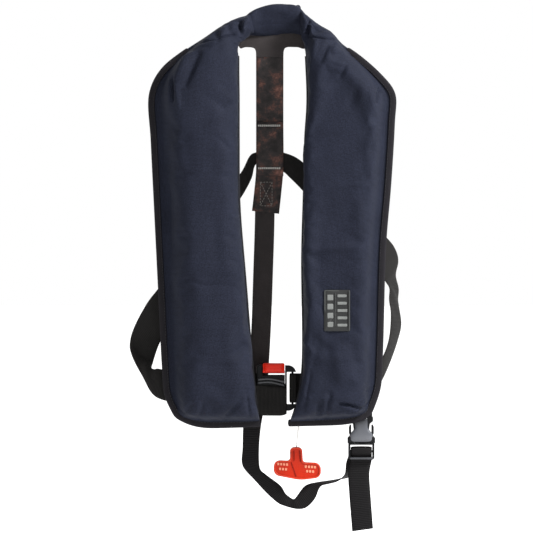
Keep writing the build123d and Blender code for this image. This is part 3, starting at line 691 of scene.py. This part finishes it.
def crease(piece, lines, flat=None):
    """Moves the front of a cover in or out along its creases and folds.

    Cloth behind y = flat, the sewn flange, stays where it is.
    """
    mesh = piece.data
    co = read(mesh.vertices, "co") / MM
    normals = read(mesh.vertices, "normal")
    facing = np.clip(-normals[:, 1] * 2, 0, 1)
    if flat is not None:
        facing *= np.clip((flat - co[:, 1]) / 8, 0, 1)
    shift = np.zeros(len(co))
    for x0, z0, x1, z1, width, depth in lines:
        along = np.array([x1 - x0, z1 - z0], float)
        reach = np.linalg.norm(along)
        offset = co[:, (0, 2)] - (x0, z0)
        t = offset @ along / reach**2
        nearest = np.clip(t, 0, 1)[:, None] * along
        distance = np.linalg.norm(offset - nearest, axis=1)
        fade = np.clip(np.sin(np.pi * np.clip(0.12 + 0.76 * t, 0, 1)), 0, 1) ** 0.7
        shift += depth * np.exp(-((distance / width) ** 2)) * fade
    x, z = co[:, 0], co[:, 2]
    ripple = np.sin(x / 9.1 + 1.7 * np.sin(z / 31)) * np.sin(z / 23.7 + 1.3 * np.sin(x / 27))
    ripple += 0.6 * np.sin(x / 5.3 - z / 17.9) * np.sin(z / 11.3 + x / 37)
    shift = CREASE_GAIN * shift + RIPPLE * ripple
    co -= normals * (shift * facing)[:, None]
    mesh.vertices.foreach_set("co", (co * MM).ravel())
    mesh.update()


def refine(piece):
    """Applies subdivision, so that later creases have points to move."""
    subdivide(piece, 2)
    mesh = bpy.data.meshes.new_from_object(piece.evaluated_get(bpy.context.evaluated_depsgraph_get()))
    piece.modifiers.clear()
    piece.data = mesh


FLANGE_LIMIT = -5.0


def make_cover(side, stations, hem, creases):
    """Padded cloth tube of one lobe, blown up, closed at its ends and creased."""
    lobe = Lobe(stations, hem)
    piece = lobe.build(f"cover_{side}_shell", cover_cloth)
    inflate(piece, lobe.pinned(), 2.5, 0.006)
    weld = bmesh.new()
    weld.from_mesh(piece.data)
    bmesh.ops.remove_doubles(weld, verts=weld.verts, dist=0.00005)
    ends = [e for e in weld.edges if e.is_boundary]
    bmesh.ops.holes_fill(weld, edges=ends, sides=0)
    bmesh.ops.recalc_face_normals(weld, faces=weld.faces)
    if weld.calc_volume(signed=True) < 0:
        bmesh.ops.reverse_faces(weld, faces=weld.faces)
    weld.to_mesh(piece.data)
    weld.free()
    refine(piece)
    crease(piece, creases, FLANGE_LIMIT)
    for polygon in piece.data.polygons:
        polygon.use_smooth = True
    place(piece, "jacket", "cover_fabric", f"cover_{side}")
    return lobe, piece


left_lobe, _ = make_cover("left", LEFT_STATIONS, LEFT_HEM, LEFT_CREASES)
right_lobe, right_cover = make_cover("right", RIGHT_STATIONS, RIGHT_HEM, RIGHT_CREASES)


def make_bladder(side, lobe, *nodes):
    """Folded bladder half, packed flat inside its cover."""
    front, back = lobe.heights()
    inside = (slice(12, len(lobe.run) - 8), slice(5, -8))
    x, z = lobe.flat[(*inside, 0)], lobe.flat[(*inside, 1)]
    middle = (0.5 * front + 0.5 * back)[inside]
    half = (0.2 * np.abs(front - back))[inside]
    bulge = np.sin(np.pi * np.linspace(0, 1, x.shape[1]))[None] ** 0.5
    pleat = 1.2 * np.sin(x / 4.5)
    rows = np.concatenate([
        stack(x, middle - half * bulge + pleat * bulge, z),
        stack(x, middle + half * bulge, z)[:, -2:0:-1],
    ], 1)
    piece = tube(f"bladder_fold_{side}", rows, rows[..., (0, 2)], bladder_cloth)
    place(piece, "jacket", "bladder_fabric", *nodes)


make_bladder("left", left_lobe, "bladder_left")
make_bladder("right", right_lobe, "bladder_right", "bladder_collar")

# ---- collar ---------------------------------------------------------------
# Stations along X: middle depth, lowest and highest edge, and half the depth.
COLLAR_STATIONS = [
    (-44, 14, 15, 36, 10), (-26, 18, 18.5, 50, 15), (-12, 21, 18, 56, 16), (2, 22, 18, 59.2, 17),
    (18, 22, 18.5, 59.4, 17), (34, 19, 19, 57, 15), (54, 12, 16, 34, 10),
]
COLLAR_CREASES = [
    (-20, 29, 3, 23, 3.5, 6.0), (6, 27, 20, 28, 4, 6.0), (-12, 45, 8, 40, 4, -3.6),
    (22, 38, 33, 23, 3.5, 5.0), (-25, 44, -18, 22, 4, 8.0), (34, 56, 35, 20, 3.5, 9.0),
    (8, 50, 30, 46, 3, 3.2), (-4, 36, 12, 33, 3, -3.4), (-12, 52, -20, 34, 3, 3.6), (26, 54, 28, 40, 3, 3.0),
]


def make_collar():
    """Middle of the collar, a tube behind both shoulders."""
    line = smooth_run(COLLAR_STATIONS, 3.5)
    x, middle, low, high, half = line.T
    angle = np.arange(28) * math.tau / 28
    across, upward = (np.sign(c) * np.abs(c) ** 0.75 for c in (np.cos(angle), np.sin(angle)))
    points = stack(
        x[:, None],
        middle[:, None] - half[:, None] * across[None],
        ((low + high) / 2)[:, None] + ((high - low) / 2)[:, None] * upward[None],
    )
    around = lengths(points[len(x) // 2])
    piece = tube("collar_shell", points, stack(x[:, None], around[None]), cover_cloth)
    rim = np.zeros((len(x), len(angle)))
    rim[[0, 1, -2, -1]] = 1
    rim[:, np.cos(angle) < -0.3] = 1
    inflate(piece, rim.ravel(), 2.0, 0.003)
    refine(piece)
    crease(piece, COLLAR_CREASES)
    place(piece, "jacket", "cover_fabric", "cover_collar")


make_collar()

# Black yoke under the collar, with rounded corners where the gaps begin.
YOKE = [
    (-47, 6), (-45, 22), (0, 23.5), (52, 22), (50, 3), (43.5, -1.2), (36, 1.6), (22, 1.9), (17.5, 0.6),
    (15.9, -4), (15.7, -12), (-21.8, -12), (-22.0, -4), (-23.6, 0), (-28, 1.4), (-37, 1.7), (-43.5, -0.8),
]
YOKE_BACK = 18.6
YOKE_THICK = 1.5


def plate(name, outline, y_front, thick, material, rounding):
    """Flat piece with softened edges, cut to an outline in X and Z."""
    shape = bmesh.new()
    verts = [shape.verts.new((MM * x, MM * y_front, MM * z)) for x, z in outline]
    face = shape.faces.new(verts)
    shape.normal_update()
    if face.normal.y > 0:
        face.normal_flip()
    made = bmesh.ops.extrude_face_region(shape, geom=[face])
    moved = [v for v in made["geom"] if isinstance(v, bmesh.types.BMVert)]
    bmesh.ops.translate(shape, vec=(0, MM * thick, 0), verts=moved)
    bmesh.ops.recalc_face_normals(shape, faces=shape.faces)
    rims = [e for e in shape.edges if len(e.link_faces) == 2
            and any(abs(f.normal.y) > 0.9 for f in e.link_faces)
            and any(abs(f.normal.y) < 0.5 for f in e.link_faces)]
    bmesh.ops.bevel(shape, geom=rims, offset=MM * rounding, segments=3, affect="EDGES", profile=0.5)
    bmesh.ops.triangulate(shape, faces=[f for f in shape.faces if len(f.verts) > 4])
    mesh = bpy.data.meshes.new(name)
    shape.to_mesh(mesh)
    shape.free()
    layer = mesh.uv_layers.new(name="UVMap")
    for loop in mesh.loops:
        co = mesh.vertices[loop.vertex_index].co
        layer.data[loop.index].uv = (co.x, co.z)
    mesh.materials.append(material)
    piece = bpy.data.objects.new(name, mesh)
    SCENE.collection.objects.link(piece)
    return piece


def rounded_outline(points, radius, segments=5):
    """Closed outline with each corner rounded; a point may give its own radius."""
    done = []
    count = len(points)
    for i, point in enumerate(points):
        here = np.array(point[:2], float)
        size = point[2] if len(point) > 2 else radius
        before, after = (np.array(points[(i + d) % count][:2], float) for d in (-1, 1))
        a, b = unit(before - here), unit(after - here)
        reach = min(size, 0.45 * np.linalg.norm(before - here), 0.45 * np.linalg.norm(after - here))
        start, end = here + a * reach, here + b * reach
        for t in np.linspace(0, 1, segments):
            done.append((1 - t) ** 2 * start + 2 * t * (1 - t) * here + t**2 * end)
    return [tuple(p) for p in done]


yoke = plate("neck_yoke", rounded_outline(YOKE, 2.5, 4), YOKE_BACK - YOKE_THICK, YOKE_THICK, plain_cloth,
             rounding=0.4)
place(yoke, "jacket", "lining_fabric", "neck_lining")

# ---- back panels and bindings ----------------------------------------------
# The tape's section: distance from the edge inwards, then depth.
BINDING_SECTION = [
    (8.2, -4.3), (8.0, -5.2), (6.5, -5.6), (3.0, -5.7), (0.6, -5.5), (-0.9, -4.4), (-1.3, -2.2),
    (-0.9, 0.3), (0.6, 1.3), (3.0, 1.5), (6.5, 1.4), (8.6, 1.0), (8.8, 0.2), (6.0, -0.2), (3.0, -0.6),
    (1.0, -2.2), (3.0, -3.9), (6.0, -4.2),
]
SEAM_INSET, SEAM_DEPTH = 6.6, -5.5


def outline_run(lobe):
    """Outer edge below the neck rest, then the hem, as one run of X and Z."""
    first = int(np.argmax(lobe.outer[:, 1] < 0))
    run = np.concatenate([lobe.outer[first:-1], lobe.hem[::-1]])
    keep = np.concatenate([[True], np.linalg.norm(np.diff(run, axis=0), axis=1) > 0.5])
    run = run[keep]
    for _ in range(3):
        run[1:-1] = 0.25 * run[:-2] + 0.5 * run[1:-1] + 0.25 * run[2:]
    return run


def make_binding(side, lobe):
    """Tape folded over the outer edge and the hem, and its row of stitches."""
    piece, path, inward = level_sweep(f"binding_tape_{side}", outline_run(lobe), BINDING_SECTION,
                                      binding_cloth, turn=1 if side == "left" else -1)
    subdivide(piece)
    place(piece, "jacket", "binding_tape", f"binding_{side}")
    seam = path + SEAM_INSET * inward + np.array([0, SEAM_DEPTH, 0])
    thread = stitches(f"binding_stitches_{side}", [seam[2:-2]], dark_thread, length=2.6, gap=1.4, radius=0.3)
    place(thread, "jacket", "thread")


make_binding("left", left_lobe)
make_binding("right", right_lobe)


def make_back_panel(side, lobe):
    """Lining over the back of a lobe, with soft waves between its edges."""
    first = int(np.argmax(lobe.inner[:, 1] < -10))
    flat = lobe.flat[first:]
    middle = flat.mean(1, keepdims=True)
    x, z = (middle + (flat - middle) * 0.985)[..., 0], flat[..., 1]
    edge = np.sin(np.pi * np.linspace(0, 1, x.shape[1]))[None]
    wave = 0.2 * edge * (np.sin(z / 23 + x / 31) + np.sin(x / 17 - z / 41))
    rear = stack(x, -0.3 + wave, z)
    face = stack(x, -1.4 + wave, z)
    rows = np.concatenate([face, rear[:, ::-1]], 1)
    u = np.concatenate([x, x[:, ::-1]], 1)
    v = np.concatenate([z, z[:, ::-1]], 1)
    place(tube(f"lining_{side}", rows, stack(u, v), lining_cloth), "jacket", "lining_fabric",
          f"back_panel_{side}")


make_back_panel("left", left_lobe)
make_back_panel("right", right_lobe)

# ---- back straps ----------------------------------------------------------
STRAP_LEFT, STRAP_RIGHT = -21.8, 15.7


def across_strap(y, z, left=STRAP_LEFT, right=STRAP_RIGHT, z_right=None):
    """Station of an upright strap; its right edge may be lower than its left one."""
    return (left, y, z), (right, y, z if z_right is None else z_right)


place(ribbon("wide_strap", [
    across_strap(19.6, 14), across_strap(21, -30), across_strap(30, -70), across_strap(36, -100),
    across_strap(40, -165), across_strap(40.6, -196, -24.5, 13.0), across_strap(41, -222, -27.5, 9.8, -226),
], back_cloth, thickness=2.2, across=12,
    ripple=lambda v, s: 0.5 * np.sin(v / 13 + 3 * s) + 0.3 * np.sin(v / 29 + 5 * s)),
    "jacket", "back_webbing", "back_strap_wide")
place(ribbon("strap_tunnel_sleeve", [
    across_strap(34.1, -100), across_strap(32.6, -112), across_strap(32.0, -138), across_strap(33.4, -164),
    across_strap(38.2, -174),
], back_cloth, thickness=1.4, step=3, across=12,
    ripple=lambda v, s: -0.5 * np.sin(np.pi * s) + 0.4 * np.sin(v / 7 + 4 * s)),
    "jacket", "back_webbing", "strap_tunnel")
place(ribbon("narrow_strap", [
    ((-23, 43.0, -188), (3.5, 43.0, -188)), ((-23.5, 43.3, -235), (3.5, 43.3, -235)),
    ((-25.5, 40, -300), (1.5, 40, -302)), ((-28.2, 36, -380), (-1.5, 36, -384)),
    ((-33, 31.2, -472), (-6.5, 31.2, -472)),
], plain_cloth, step=5, ripple=lambda v, s: 0.8 * np.sin(v / 41 + 2 * s), cup=0.6),
    "jacket", "back_webbing", "back_strap_narrow")

# Two bar tacks of three rows each, then the box with its cross below them.
BAR_Y = 31.4
bars = [[(x, BAR_Y - lift, z + drop) for x in np.linspace(STRAP_LEFT + 2.5, STRAP_RIGHT - 2, 12)]
        for z, lift in ((-105, -0.4), (-163.5, 0.1)) for drop in (-0.8, 0, 0.8)]
place(stitches("bar_tacks", bars, thread_cloth, length=2.2, gap=0.4, radius=0.5),
      "jacket", "thread", "bar_stitches")
BOX_LEFT, BOX_RIGHT, BOX_TOP, BOX_LOW, BOX_Y = -16.0, 0.2, -182.5, -215.0, 38.9
box = [(x, BOX_Y, z) for x, z in (
    (BOX_LEFT, BOX_TOP), (BOX_RIGHT, BOX_TOP), (BOX_RIGHT, BOX_LOW), (BOX_LEFT, BOX_LOW))]
box_runs = [[box[k], box[(k + 1) % 4]] for k in range(4)] + [[box[0], box[2]], [box[1], box[3]]]
place(stitches("box_stitch", box_runs, pale_thread, length=2.8, gap=1.2, radius=0.45), "jacket", "thread")

# ---- waist belt -----------------------------------------------------------
WAIST_Y, WAIST_Z = 11.0, -464.5
BELT_HALF = 20.0


def upright(x, y, middle=WAIST_Z):
    """Station of a level belt: its low and its high edge."""
    return (x, y, middle - BELT_HALF), (x, y, middle + BELT_HALF)


def fold_wrinkles(centre, spread, depth, waves):
    """Buckles across the strap near one place along it."""
    return lambda v, s: depth * np.exp(-(((v - centre) / spread) ** 2)) * np.sin(waves * math.tau * s + v / 6)


place(ribbon("belt_left_web", [
    ((-3, 35.3, -139), (-3, 35.3, -157)), ((-21, 35.3, -141.5), (-22, 35.3, -158)),
    ((-30, 34.8, -146), (-27.5, 35.2, -176)),
    ((-41, 34.2, -167), (-37, 34.8, -195)), ((-58, 32, -190), (-46, 33, -210)),
    ((-100, 27, -236), (-66, 28, -256)),
    ((-148, 20, -318), (-112, 20, -336)),
    ((-172, 24, -350), (-139, 22, -376)), ((-190, 31, -384), (-156, 27, -408)),
    ((-195, 29, -404), (-163, 23, -430)), ((-192.5, 20, -420), (-164.5, 17, -436)),
    ((-178, 12, -447), (-161, 12, -439)), ((-162, 9, -474), (-155, 9, -438)),
    ((-140, 8, -483), (-138, 8, -442)), upright(-110, 8, -463.5),
    upright(-60, 9.2, -464), upright(-26, WAIST_Y), upright(-19, WAIST_Y),
], belt_cloth, across=14, ripple=fold_wrinkles(345, 26, 1.6, 1.5), cup=0.8),
    "jacket", "belt_webbing", "belt_left")

place(ribbon("belt_right_web", [
    ((-3, 35.3, -139), (-3, 35.3, -160)), ((14, 35.3, -141.5), (15, 35.3, -168)),
    ((30, 34.8, -147), (24, 35.2, -176)),
    ((46, 33.6, -158), (40, 34.4, -192)), ((100, 27, -202), (74, 26, -232)),
    ((142, 22, -244), (116, 20, -274)), ((168, 36, -272), (142, 12, -300)),
    ((174, 42, -292), (152, 9, -314)), ((170.5, 46, -312), (157, 8, -322)),
    ((174, 46, -332), (160, 7, -332)), ((175, 46, -356), (161.5, 7, -356)),
    ((178, 45, -378), (162, 7, -378)), ((173, 41, -400), (159, 7, -400)),
    ((163, 34, -428), (152, 6, -420)), ((152, 24, -452), (144, 6, -434)),
    ((136, 10, -478), (134, 8, -438)), upright(104, 9, -465),
], belt_cloth, across=14, ripple=fold_wrinkles(262, 30, 1.2, 1.0), cup=-0.8),
    "jacket", "belt_webbing", "belt_right")

# The belt's turn around the bar of the buckle's plug, as X and depth.
BAR_WRAP = [(33, -3.6), (28, -4.0), (24.9, -2.2), (24.9, 2.2), (28, 4.0), (36, 3.2)]
front_belt = ribbon("belt_plug_web", [upright(x, WAIST_Y + y) for x, y in BAR_WRAP] + [
    upright(56, 12.6, -465), upright(80, 10.7, -465), upright(103.6, 9, -465),
], belt_cloth, step=1.5, across=12)
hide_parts("belt_right_front")
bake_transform(front_belt)

TAIL_END = 20.1
place(ribbon("belt_tail_web", [
    upright(-62, 2.6, -479.5), upright(-40, 2.4, -480),
    ((-20, 2.0, -501.5), (-20, 2.0, -461)), ((0, 1.4, -502), (0, 1.6, -461.5)),
    ((TAIL_END - 4.6, 1.4, -501.5), (TAIL_END - 3.6, 1.6, -463.5)),
    ((TAIL_END, 1.6, -499.5), (TAIL_END, 1.8, -465)),
], belt_cloth, step=3, across=14, ripple=lambda v, s: 0.5 * np.sin(v / 19 + 4 * s), cup=-1.0),
    "jacket", "belt_webbing", "belt_tail")


SLEEVE_HALF, SLEEVE_NEAR, SLEEVE_FAR = 26.0, 0.7, 13.3


def belt_sleeve(name, x0, x1, z_mid, node):
    """Flat loop of webbing on the lining that the belt runs through."""
    low, high, near, far = z_mid - SLEEVE_HALF, z_mid + SLEEVE_HALF, SLEEVE_NEAR, SLEEVE_FAR
    ring = rounded_outline([(near, low), (near, high), (far, high), (far, low)], 3.5, 6)
    stations = [((x0, y, z), (x1, y, z)) for y, z in ring + ring[:1]]
    place(ribbon(name, stations, belt_cloth, thickness=1.4), "jacket", "belt_webbing", node)


belt_sleeve("sleeve_left", -108, -70, -463, "belt_loop_left")
belt_sleeve("sleeve_right", 80, 100, WAIST_Z, "belt_loop_right")

# ---- crotch strap ---------------------------------------------------------
FRAME_TOP = -539.9
CROTCH_X, CROTCH_Y = 122.0, 9.0
TAB_HALF = 15.0
crotch_strap = ribbon("crotch_web", [
    ((-33, 31, -470.6), (-6, 31, -470.6)), ((-39.4, 27, -517), (-15, 27, -517)),
    ((-40.4, 25, -548), (-17.7, 25, -548)), ((-41.4, 23, -567), (-17.2, 23, -571)),
    ((-38.5, 22.6, -575), (-15.5, 22.4, -577)), ((-25.8, 21, -589), (-8.2, 21, -583.4)),
    ((-4, 19, -612), (12.2, 19, -599)), ((10.5, 17, -623.6), (18.5, 17, -609)),
    ((18.5, 15.2, -626.5), (23.0, 17.5, -613)), ((25, 16.5, -628.6), (28, 16, -616.3)),
    ((34, 14.5, -630.2), (30.5, 14.5, -616.2)), ((44, 14.2, -629.4), (33.5, 15, -613)),
    ((52.5, 13.4, -623.5), (38.5, 15.6, -606)), ((59.5, 12.6, -614.5), (44.5, 16.4, -599)),
    ((64.0, 12, -603), (52, 18.5, -595.6)), ((68, 11.6, -598), (63, 23, -594.0)),
    ((77, 11, -595.6), (77, 29, -592.6)), ((89, 11, -592.2), (89, 32, -591.0)),
    ((99, 13, -583.5), (106, 34, -588)), ((101.5, 15.5, -567), (122, 25, -575)),
    ((107.5, 15.6, -549), (136.5, 15.6, -549)),
], crotch_cloth, step=3, across=12, cup=0.8)
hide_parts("crotch_strap")
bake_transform(crotch_strap)

# The webbing's turn around the bar of the buckle's plug, as depth and height.
ROLL = [
    (4.0, -13.5), (4.0, -8), (1.6, -5.6), (-1.6, -5.6), (-4.0, -8), (-4.0, -13.5), (-1.2, -18), (1.0, -23),
]
roll = [((107.6, CROTCH_Y + d, FRAME_TOP + z), (136.2, CROTCH_Y + d, FRAME_TOP + z)) for d, z in ROLL]
place(ribbon("crotch_tail_web", roll + [
    ((104.2, 10.5, -580), (133.2, 10.5, -580)), ((105.5, 10.2, -610), (134.5, 10.2, -608)),
    ((107.5, 10.6, -636), (136.4, 10.6, -633)), ((109.5, 11, -660.5), (138.2, 11, -656.5)),
], crotch_cloth, step=2, across=12, cup=0.5), "crotch_plug", "crotch_webbing", "crotch_tail")
place(ribbon("crotch_tab_web", [
    ((CROTCH_X - TAB_HALF, y, z), (CROTCH_X + TAB_HALF, y, z))
    for y, z in ((15.0, -436), (15.0, -478), (CROTCH_Y, -499), (CROTCH_Y, -506.5))
], crotch_cloth, step=3), "jacket", "crotch_webbing", "crotch_tab")

# ---- moulded parts: soften the CAD edges ------------------------------------
for name, width in (
    ("waist_buckle_housing", 0.5), ("waist_buckle_plug", 0.7), ("waist_arm_upper", 0.4),
    ("waist_arm_lower", 0.4), ("waist_pad_upper", 0.7), ("waist_pad_lower", 0.7),
    ("crotch_buckle_housing", 0.5), ("crotch_buckle_plug", 0.6), ("crotch_arm_left", 0.4),
    ("crotch_arm_right", 0.4), ("pull_handle", 0.9),
):
    node = frame["nodes"][name]
    weld = node.modifiers.new("weld", "WELD")
    weld.merge_threshold = 0.00002
    soften = node.modifiers.new("soften", "BEVEL")
    soften.width = MM * width
    soften.segments = 3
    soften.limit_method = "ANGLE"
    soften.angle_limit = math.radians(28)
    node.data.polygons.foreach_set("use_smooth", [True] * len(node.data.polygons))
frame["nodes"]["pull_handle"].data.materials[0] = orange_plastic


# Half of a rib's section: share of its width, then of its height.
RIB_SIDE = [(-0.5, 0.2), (-0.5, -0.55), (-0.325, -1.0)]


def ribs(name, runs, width, height, material, body, slot):
    """Raised rounded ribs along straight runs (x0, z0, x1, z1, depth of their base)."""
    points, faces, uvs = [], [], []
    section = RIB_SIDE + [(-a, b) for a, b in RIB_SIDE[::-1]]
    for x0, z0, x1, z1, y in runs:
        ends = np.array([[x0, y, z0], [x1, y, z1]], float)
        along = unit(ends[1] - ends[0])
        side = np.array([-along[2], 0, along[0]])
        first = len(points)
        for t, size in ((0.0, 0.45), (0.06, 1.0), (0.94, 1.0), (1.0, 0.45)):
            centre = ends[0] * (1 - t) + ends[1] * t
            for a, b in section:
                points.append(centre + side * a * width * (0.6 + 0.4 * size)
                              + np.array([0, 1, 0]) * b * height * (size if b < 0 else 1))
                uvs.append((a * width, t * 10))
        faces.extend([tuple(first + i for i in f) for f in tube_faces(4, len(section))])
    return place(make_piece(name, points, faces, uvs, material, False), body, slot)


# Lines on the handle's stem and middle, dark orange as painted shade in its channels, and generic raised
# marks on its wings.
HANDLE_X, HANDLE_TOP, HANDLE_FACE = 33.5, -545.0, 3.85
HANDLE_LINES = [(-3.6, -4.5, -3.4, -19), (3.6, -4.5, 5.4, -20), (-7.5, -20.5, -0.5, -40)]
# Each row of marks: its middle, its height below the top, and its marks.
MARK_ROWS = [
    (-19, 24.6, (-6, -2, 2, 6)), (-17, 31.2, (-5.5, -1.5, 2.5)),
    (19.5, 25.6, (-7, -2.5, 1.5, 5.5)), (19, 31.8, (-4.5, -0.5, 3.5)),
]
MARK_HALF, MARK_SLOPE = 1.4, 0.07
HANDLE_OUTLINE = [
    (-9, 0, 6), (7.5, 0, 6), (8.8, -20.5, 4), (33.2, -21.5, 9), (33.2, -41.5, 9), (5, -45, 11),
    (-31.2, -38, 9), (-31.2, -17.6, 9), (-9, -18.6, 4),
]


def on_handle(runs):
    """Runs given from the top of the handle, as runs on its front."""
    return [(HANDLE_X + x0, HANDLE_TOP + z0, HANDLE_X + x1, HANDLE_TOP + z1, HANDLE_FACE)
            for x0, z0, x1, z1 in runs]


marks = []
for middle, row, offsets in MARK_ROWS:
    for offset in offsets:
        x, z = middle + offset, -row - MARK_SLOPE * (middle + offset)
        marks.append((x - MARK_HALF, z, x + MARK_HALF, z))
# The handle's lines in dark orange: painted shade in its channels.
ribs("handle_ridges", on_handle(HANDLE_LINES), 1.2, 0.8, orange_channel_shade, "handle", "red_plastic")
ribs("handle_marks", on_handle(marks), 3.4, 0.7, orange_light, "handle", "red_plastic")

rim = rounded_outline([(HANDLE_X + x, HANDLE_TOP + z, radius) for x, z, radius in HANDLE_OUTLINE], 3, 8)
rim_piece, *_ = level_sweep("handle_rim", np.array(rim + rim[:1]), circle(8, 1.0, 0.75), orange_rim,
                            depth=3.0, inset=1.25, turn=-1)
place(rim_piece, "handle", "red_plastic")

# ---- badge ----------------------------------------------------------------
BX0, BZ0, BX1, BZ1 = 70.0, -386.0, 105.5, -330.0
BADGE_THICK = 1.3
FLAT_FRONT = -44.0
# Middle line of its raised rim, from its edge, and where that line starts.
RIM, RIM_END = 1.3, 1.0
DIVIDER = 15.4
BLOCK_GAP, DASH_GAP = 12.2, 9.9


def cover_front(x, z):
    """Depth of the right cover's front at a place; its flat front where the ray misses it."""
    hit = right_cover.ray_cast(Vector((MM * x, -0.2, MM * z)), Vector((0, 1, 0)))
    return hit[1].y / MM if hit[0] else FLAT_FRONT


def make_badge():
    """Rubber plate that follows the cover's front."""
    outline = rounded_outline([(BX0, BZ0), (BX1, BZ0), (BX1, BZ1), (BX0, BZ1)], 2.4, 5)
    centre = np.array([(BX0 + BX1) / 2, (BZ0 + BZ1) / 2])
    rings = []
    for share, height in ((1.0, 0.0), (1.0, 0.7), (0.985, 1.0), (0.6, 1.0), (0.25, 1.0)):
        ring = [centre + (np.array(p) - centre) * share for p in outline]
        rings.append([(p[0], cover_front(*p) - height * BADGE_THICK, p[1]) for p in ring])
    rows = np.array(rings)
    place(tube("badge_base", rows, rows[..., (0, 2)], badge_dark), "jacket", "badge_rubber", "badge_patch")


bpy.context.view_layer.update()
make_badge()
frame_runs = [(x, BZ0 + RIM_END, x, BZ1 - RIM_END) for x in (BX0 + RIM, BX1 - RIM)]
frame_runs += [(BX0 + RIM_END, z, BX1 - RIM_END, z) for z in (BZ0 + RIM, BZ1 - RIM)]


def badge_ribs(name, runs, width, height, material):
    """Ribs on the badge, each at the depth that the badge has at the rib's middle."""
    placed = [(x0, z0, x1, z1, cover_front((x0 + x1) / 2, (z0 + z1) / 2) - BADGE_THICK)
              for x0, z0, x1, z1 in runs]
    ribs(name, placed, width, height, material, "jacket", "badge_rubber")


badge_ribs("badge_rim", frame_runs, 1.7, 0.8, badge_rubber)
badge_ribs("badge_rim_divider", [(BX0 + DIVIDER, BZ0 + 4, BX0 + DIVIDER, BZ1 - 4)], 0.8, 0.6, badge_rubber)
blocks = [(BX0 + 4.6, z, BX0 + 12.6, z) for z in BZ0 + 9 + BLOCK_GAP * np.arange(4)]
badge_ribs("badge_blocks", blocks, 7.6, 0.8, badge_light)
dashes = [(BX0 + 18.2, z, BX1 - 4.0, z) for z in BZ0 + 8.2 + DASH_GAP * np.arange(5)]
badge_ribs("badge_dashes", dashes, 3.9, 0.7, badge_light)


# ---- buckle faces ---------------------------------------------------------
def pillow(name, corners, y, height, material, body, slot, edge=0.32):
    """Convex face on a moulded part; corners are x0, z0, x1, z1 and how much narrower its top is."""
    x0, z0, x1, z1, taper = corners
    across = 15
    t = np.linspace(-1, 1, across)
    u, v = np.meshgrid(t, t)
    climb = np.clip((v + 0.45) / 0.6, 0, 1)
    narrow = 1 - taper * climb**2 * (3 - 2 * climb)
    x = (x0 + x1) / 2 + (x1 - x0) / 2 * u * narrow * np.sqrt(1 - 0.12 * v**4)
    z = (z0 + z1) / 2 + (z1 - z0) / 2 * v * np.sqrt(1 - 0.06 * u**4)
    swell = (1 - np.abs(u) ** (1 / edge)) * (1 - np.abs(v) ** (1.6 / edge))
    depth = y + 0.6 - (height + 0.6) * np.clip(swell, 0, 1) ** 0.6
    rows = np.stack([x, depth, z], -1)
    starts = [j * across + i for j in range(across - 1) for i in range(across - 1)]
    faces = [(k, k + 1, k + across + 1, k + across) for k in starts]
    piece = make_piece(name, rows.reshape(-1, 3), faces, rows[..., (0, 2)].reshape(-1, 2), material)
    subdivide(piece)
    place(piece, body, slot)


# The crotch buckle's face carries the painted highlight.
pillow("crotch_buckle_face", (106.5, -538.2, 137.5, -503.0, 0.42), 3.5, 3.0, buckle_face, "jacket",
       "buckle_plastic")
# The plug's bottom bar, light grey as a painted glint.
pillow("crotch_plug_bar", (105.0, -561.8, 139.0, -558.6, 0.0), 3.5, 1.2, glint_painted_plastic, "crotch_plug",
       "buckle_plastic")
pillow("waist_pad_face", (-12.0, -442.6, 16.6, -431.0, 0.0), 4.5, 2.0, red_plastic, "waist_arm_upper",
       "red_plastic", 0.24)

# Two curved ridges across the front of the waist buckle's housing, light grey as a painted highlight on the
# black plastic.
RIDGES = [((-19.5, 11.6), (-2, 12.3), (17.0, 8.6)), ((-19.5, 7.2), (-2, 8.0), (17.0, 3.6))]
for number, ridge in enumerate(RIDGES, 1):
    run = smooth_run([(x, WAIST_Z + z) for x, z in ridge], 1.5)
    piece, *_ = level_sweep(f"housing_ridge_{number}", run, circle(8, 1.25, 0.9), glint_painted_plastic, depth=3.4)
    place(piece, "jacket", "buckle_plastic")
ribs("pad_ridge", [(-10, -436.6, 14.4, -436.6, 3.0)], 1.2, 0.7, red_plastic, "waist_arm_upper", "red_plastic")

# ---- floor, light and world -----------------------------------------------
FLOOR_Z = CAD_LOW.z - 0.05
bpy.ops.mesh.primitive_plane_add(size=60, location=(0, 0, FLOOR_Z))
floor = bpy.context.object
floor.name = "studio_floor"
floor_graph = Graph("floor_white", (0.9, 0.9, 0.9), 0.9, "Object")
floor_graph.set(Emission_Color=(1, 1, 1, 1), Emission_Strength=0.35)
floor.data.materials.append(floor_graph.material)

world = bpy.data.worlds.new("world")
world.use_nodes = True
world.node_tree.nodes["Background"].inputs["Color"].default_value = (1, 1, 1, 1)
world.node_tree.nodes["Background"].inputs["Strength"].default_value = 1.0
SCENE.world = world
SCENE.view_settings.view_transform = "Standard"

KEY_PLACE, KEY_TARGET = Vector((1.75, -1.05, 1.25)), Vector((0, 0, -0.2))
key_data = bpy.data.lights.new("key", "AREA")
key_data.size = 0.6
key_data.energy = 165
key_data.color = (0.99, 0.99, 1)
key = bpy.data.objects.new("key", key_data)
key.location = KEY_PLACE
key.rotation_euler = (KEY_TARGET - KEY_PLACE).to_track_quat("-Z", "Y").to_euler()
SCENE.collection.objects.link(key)
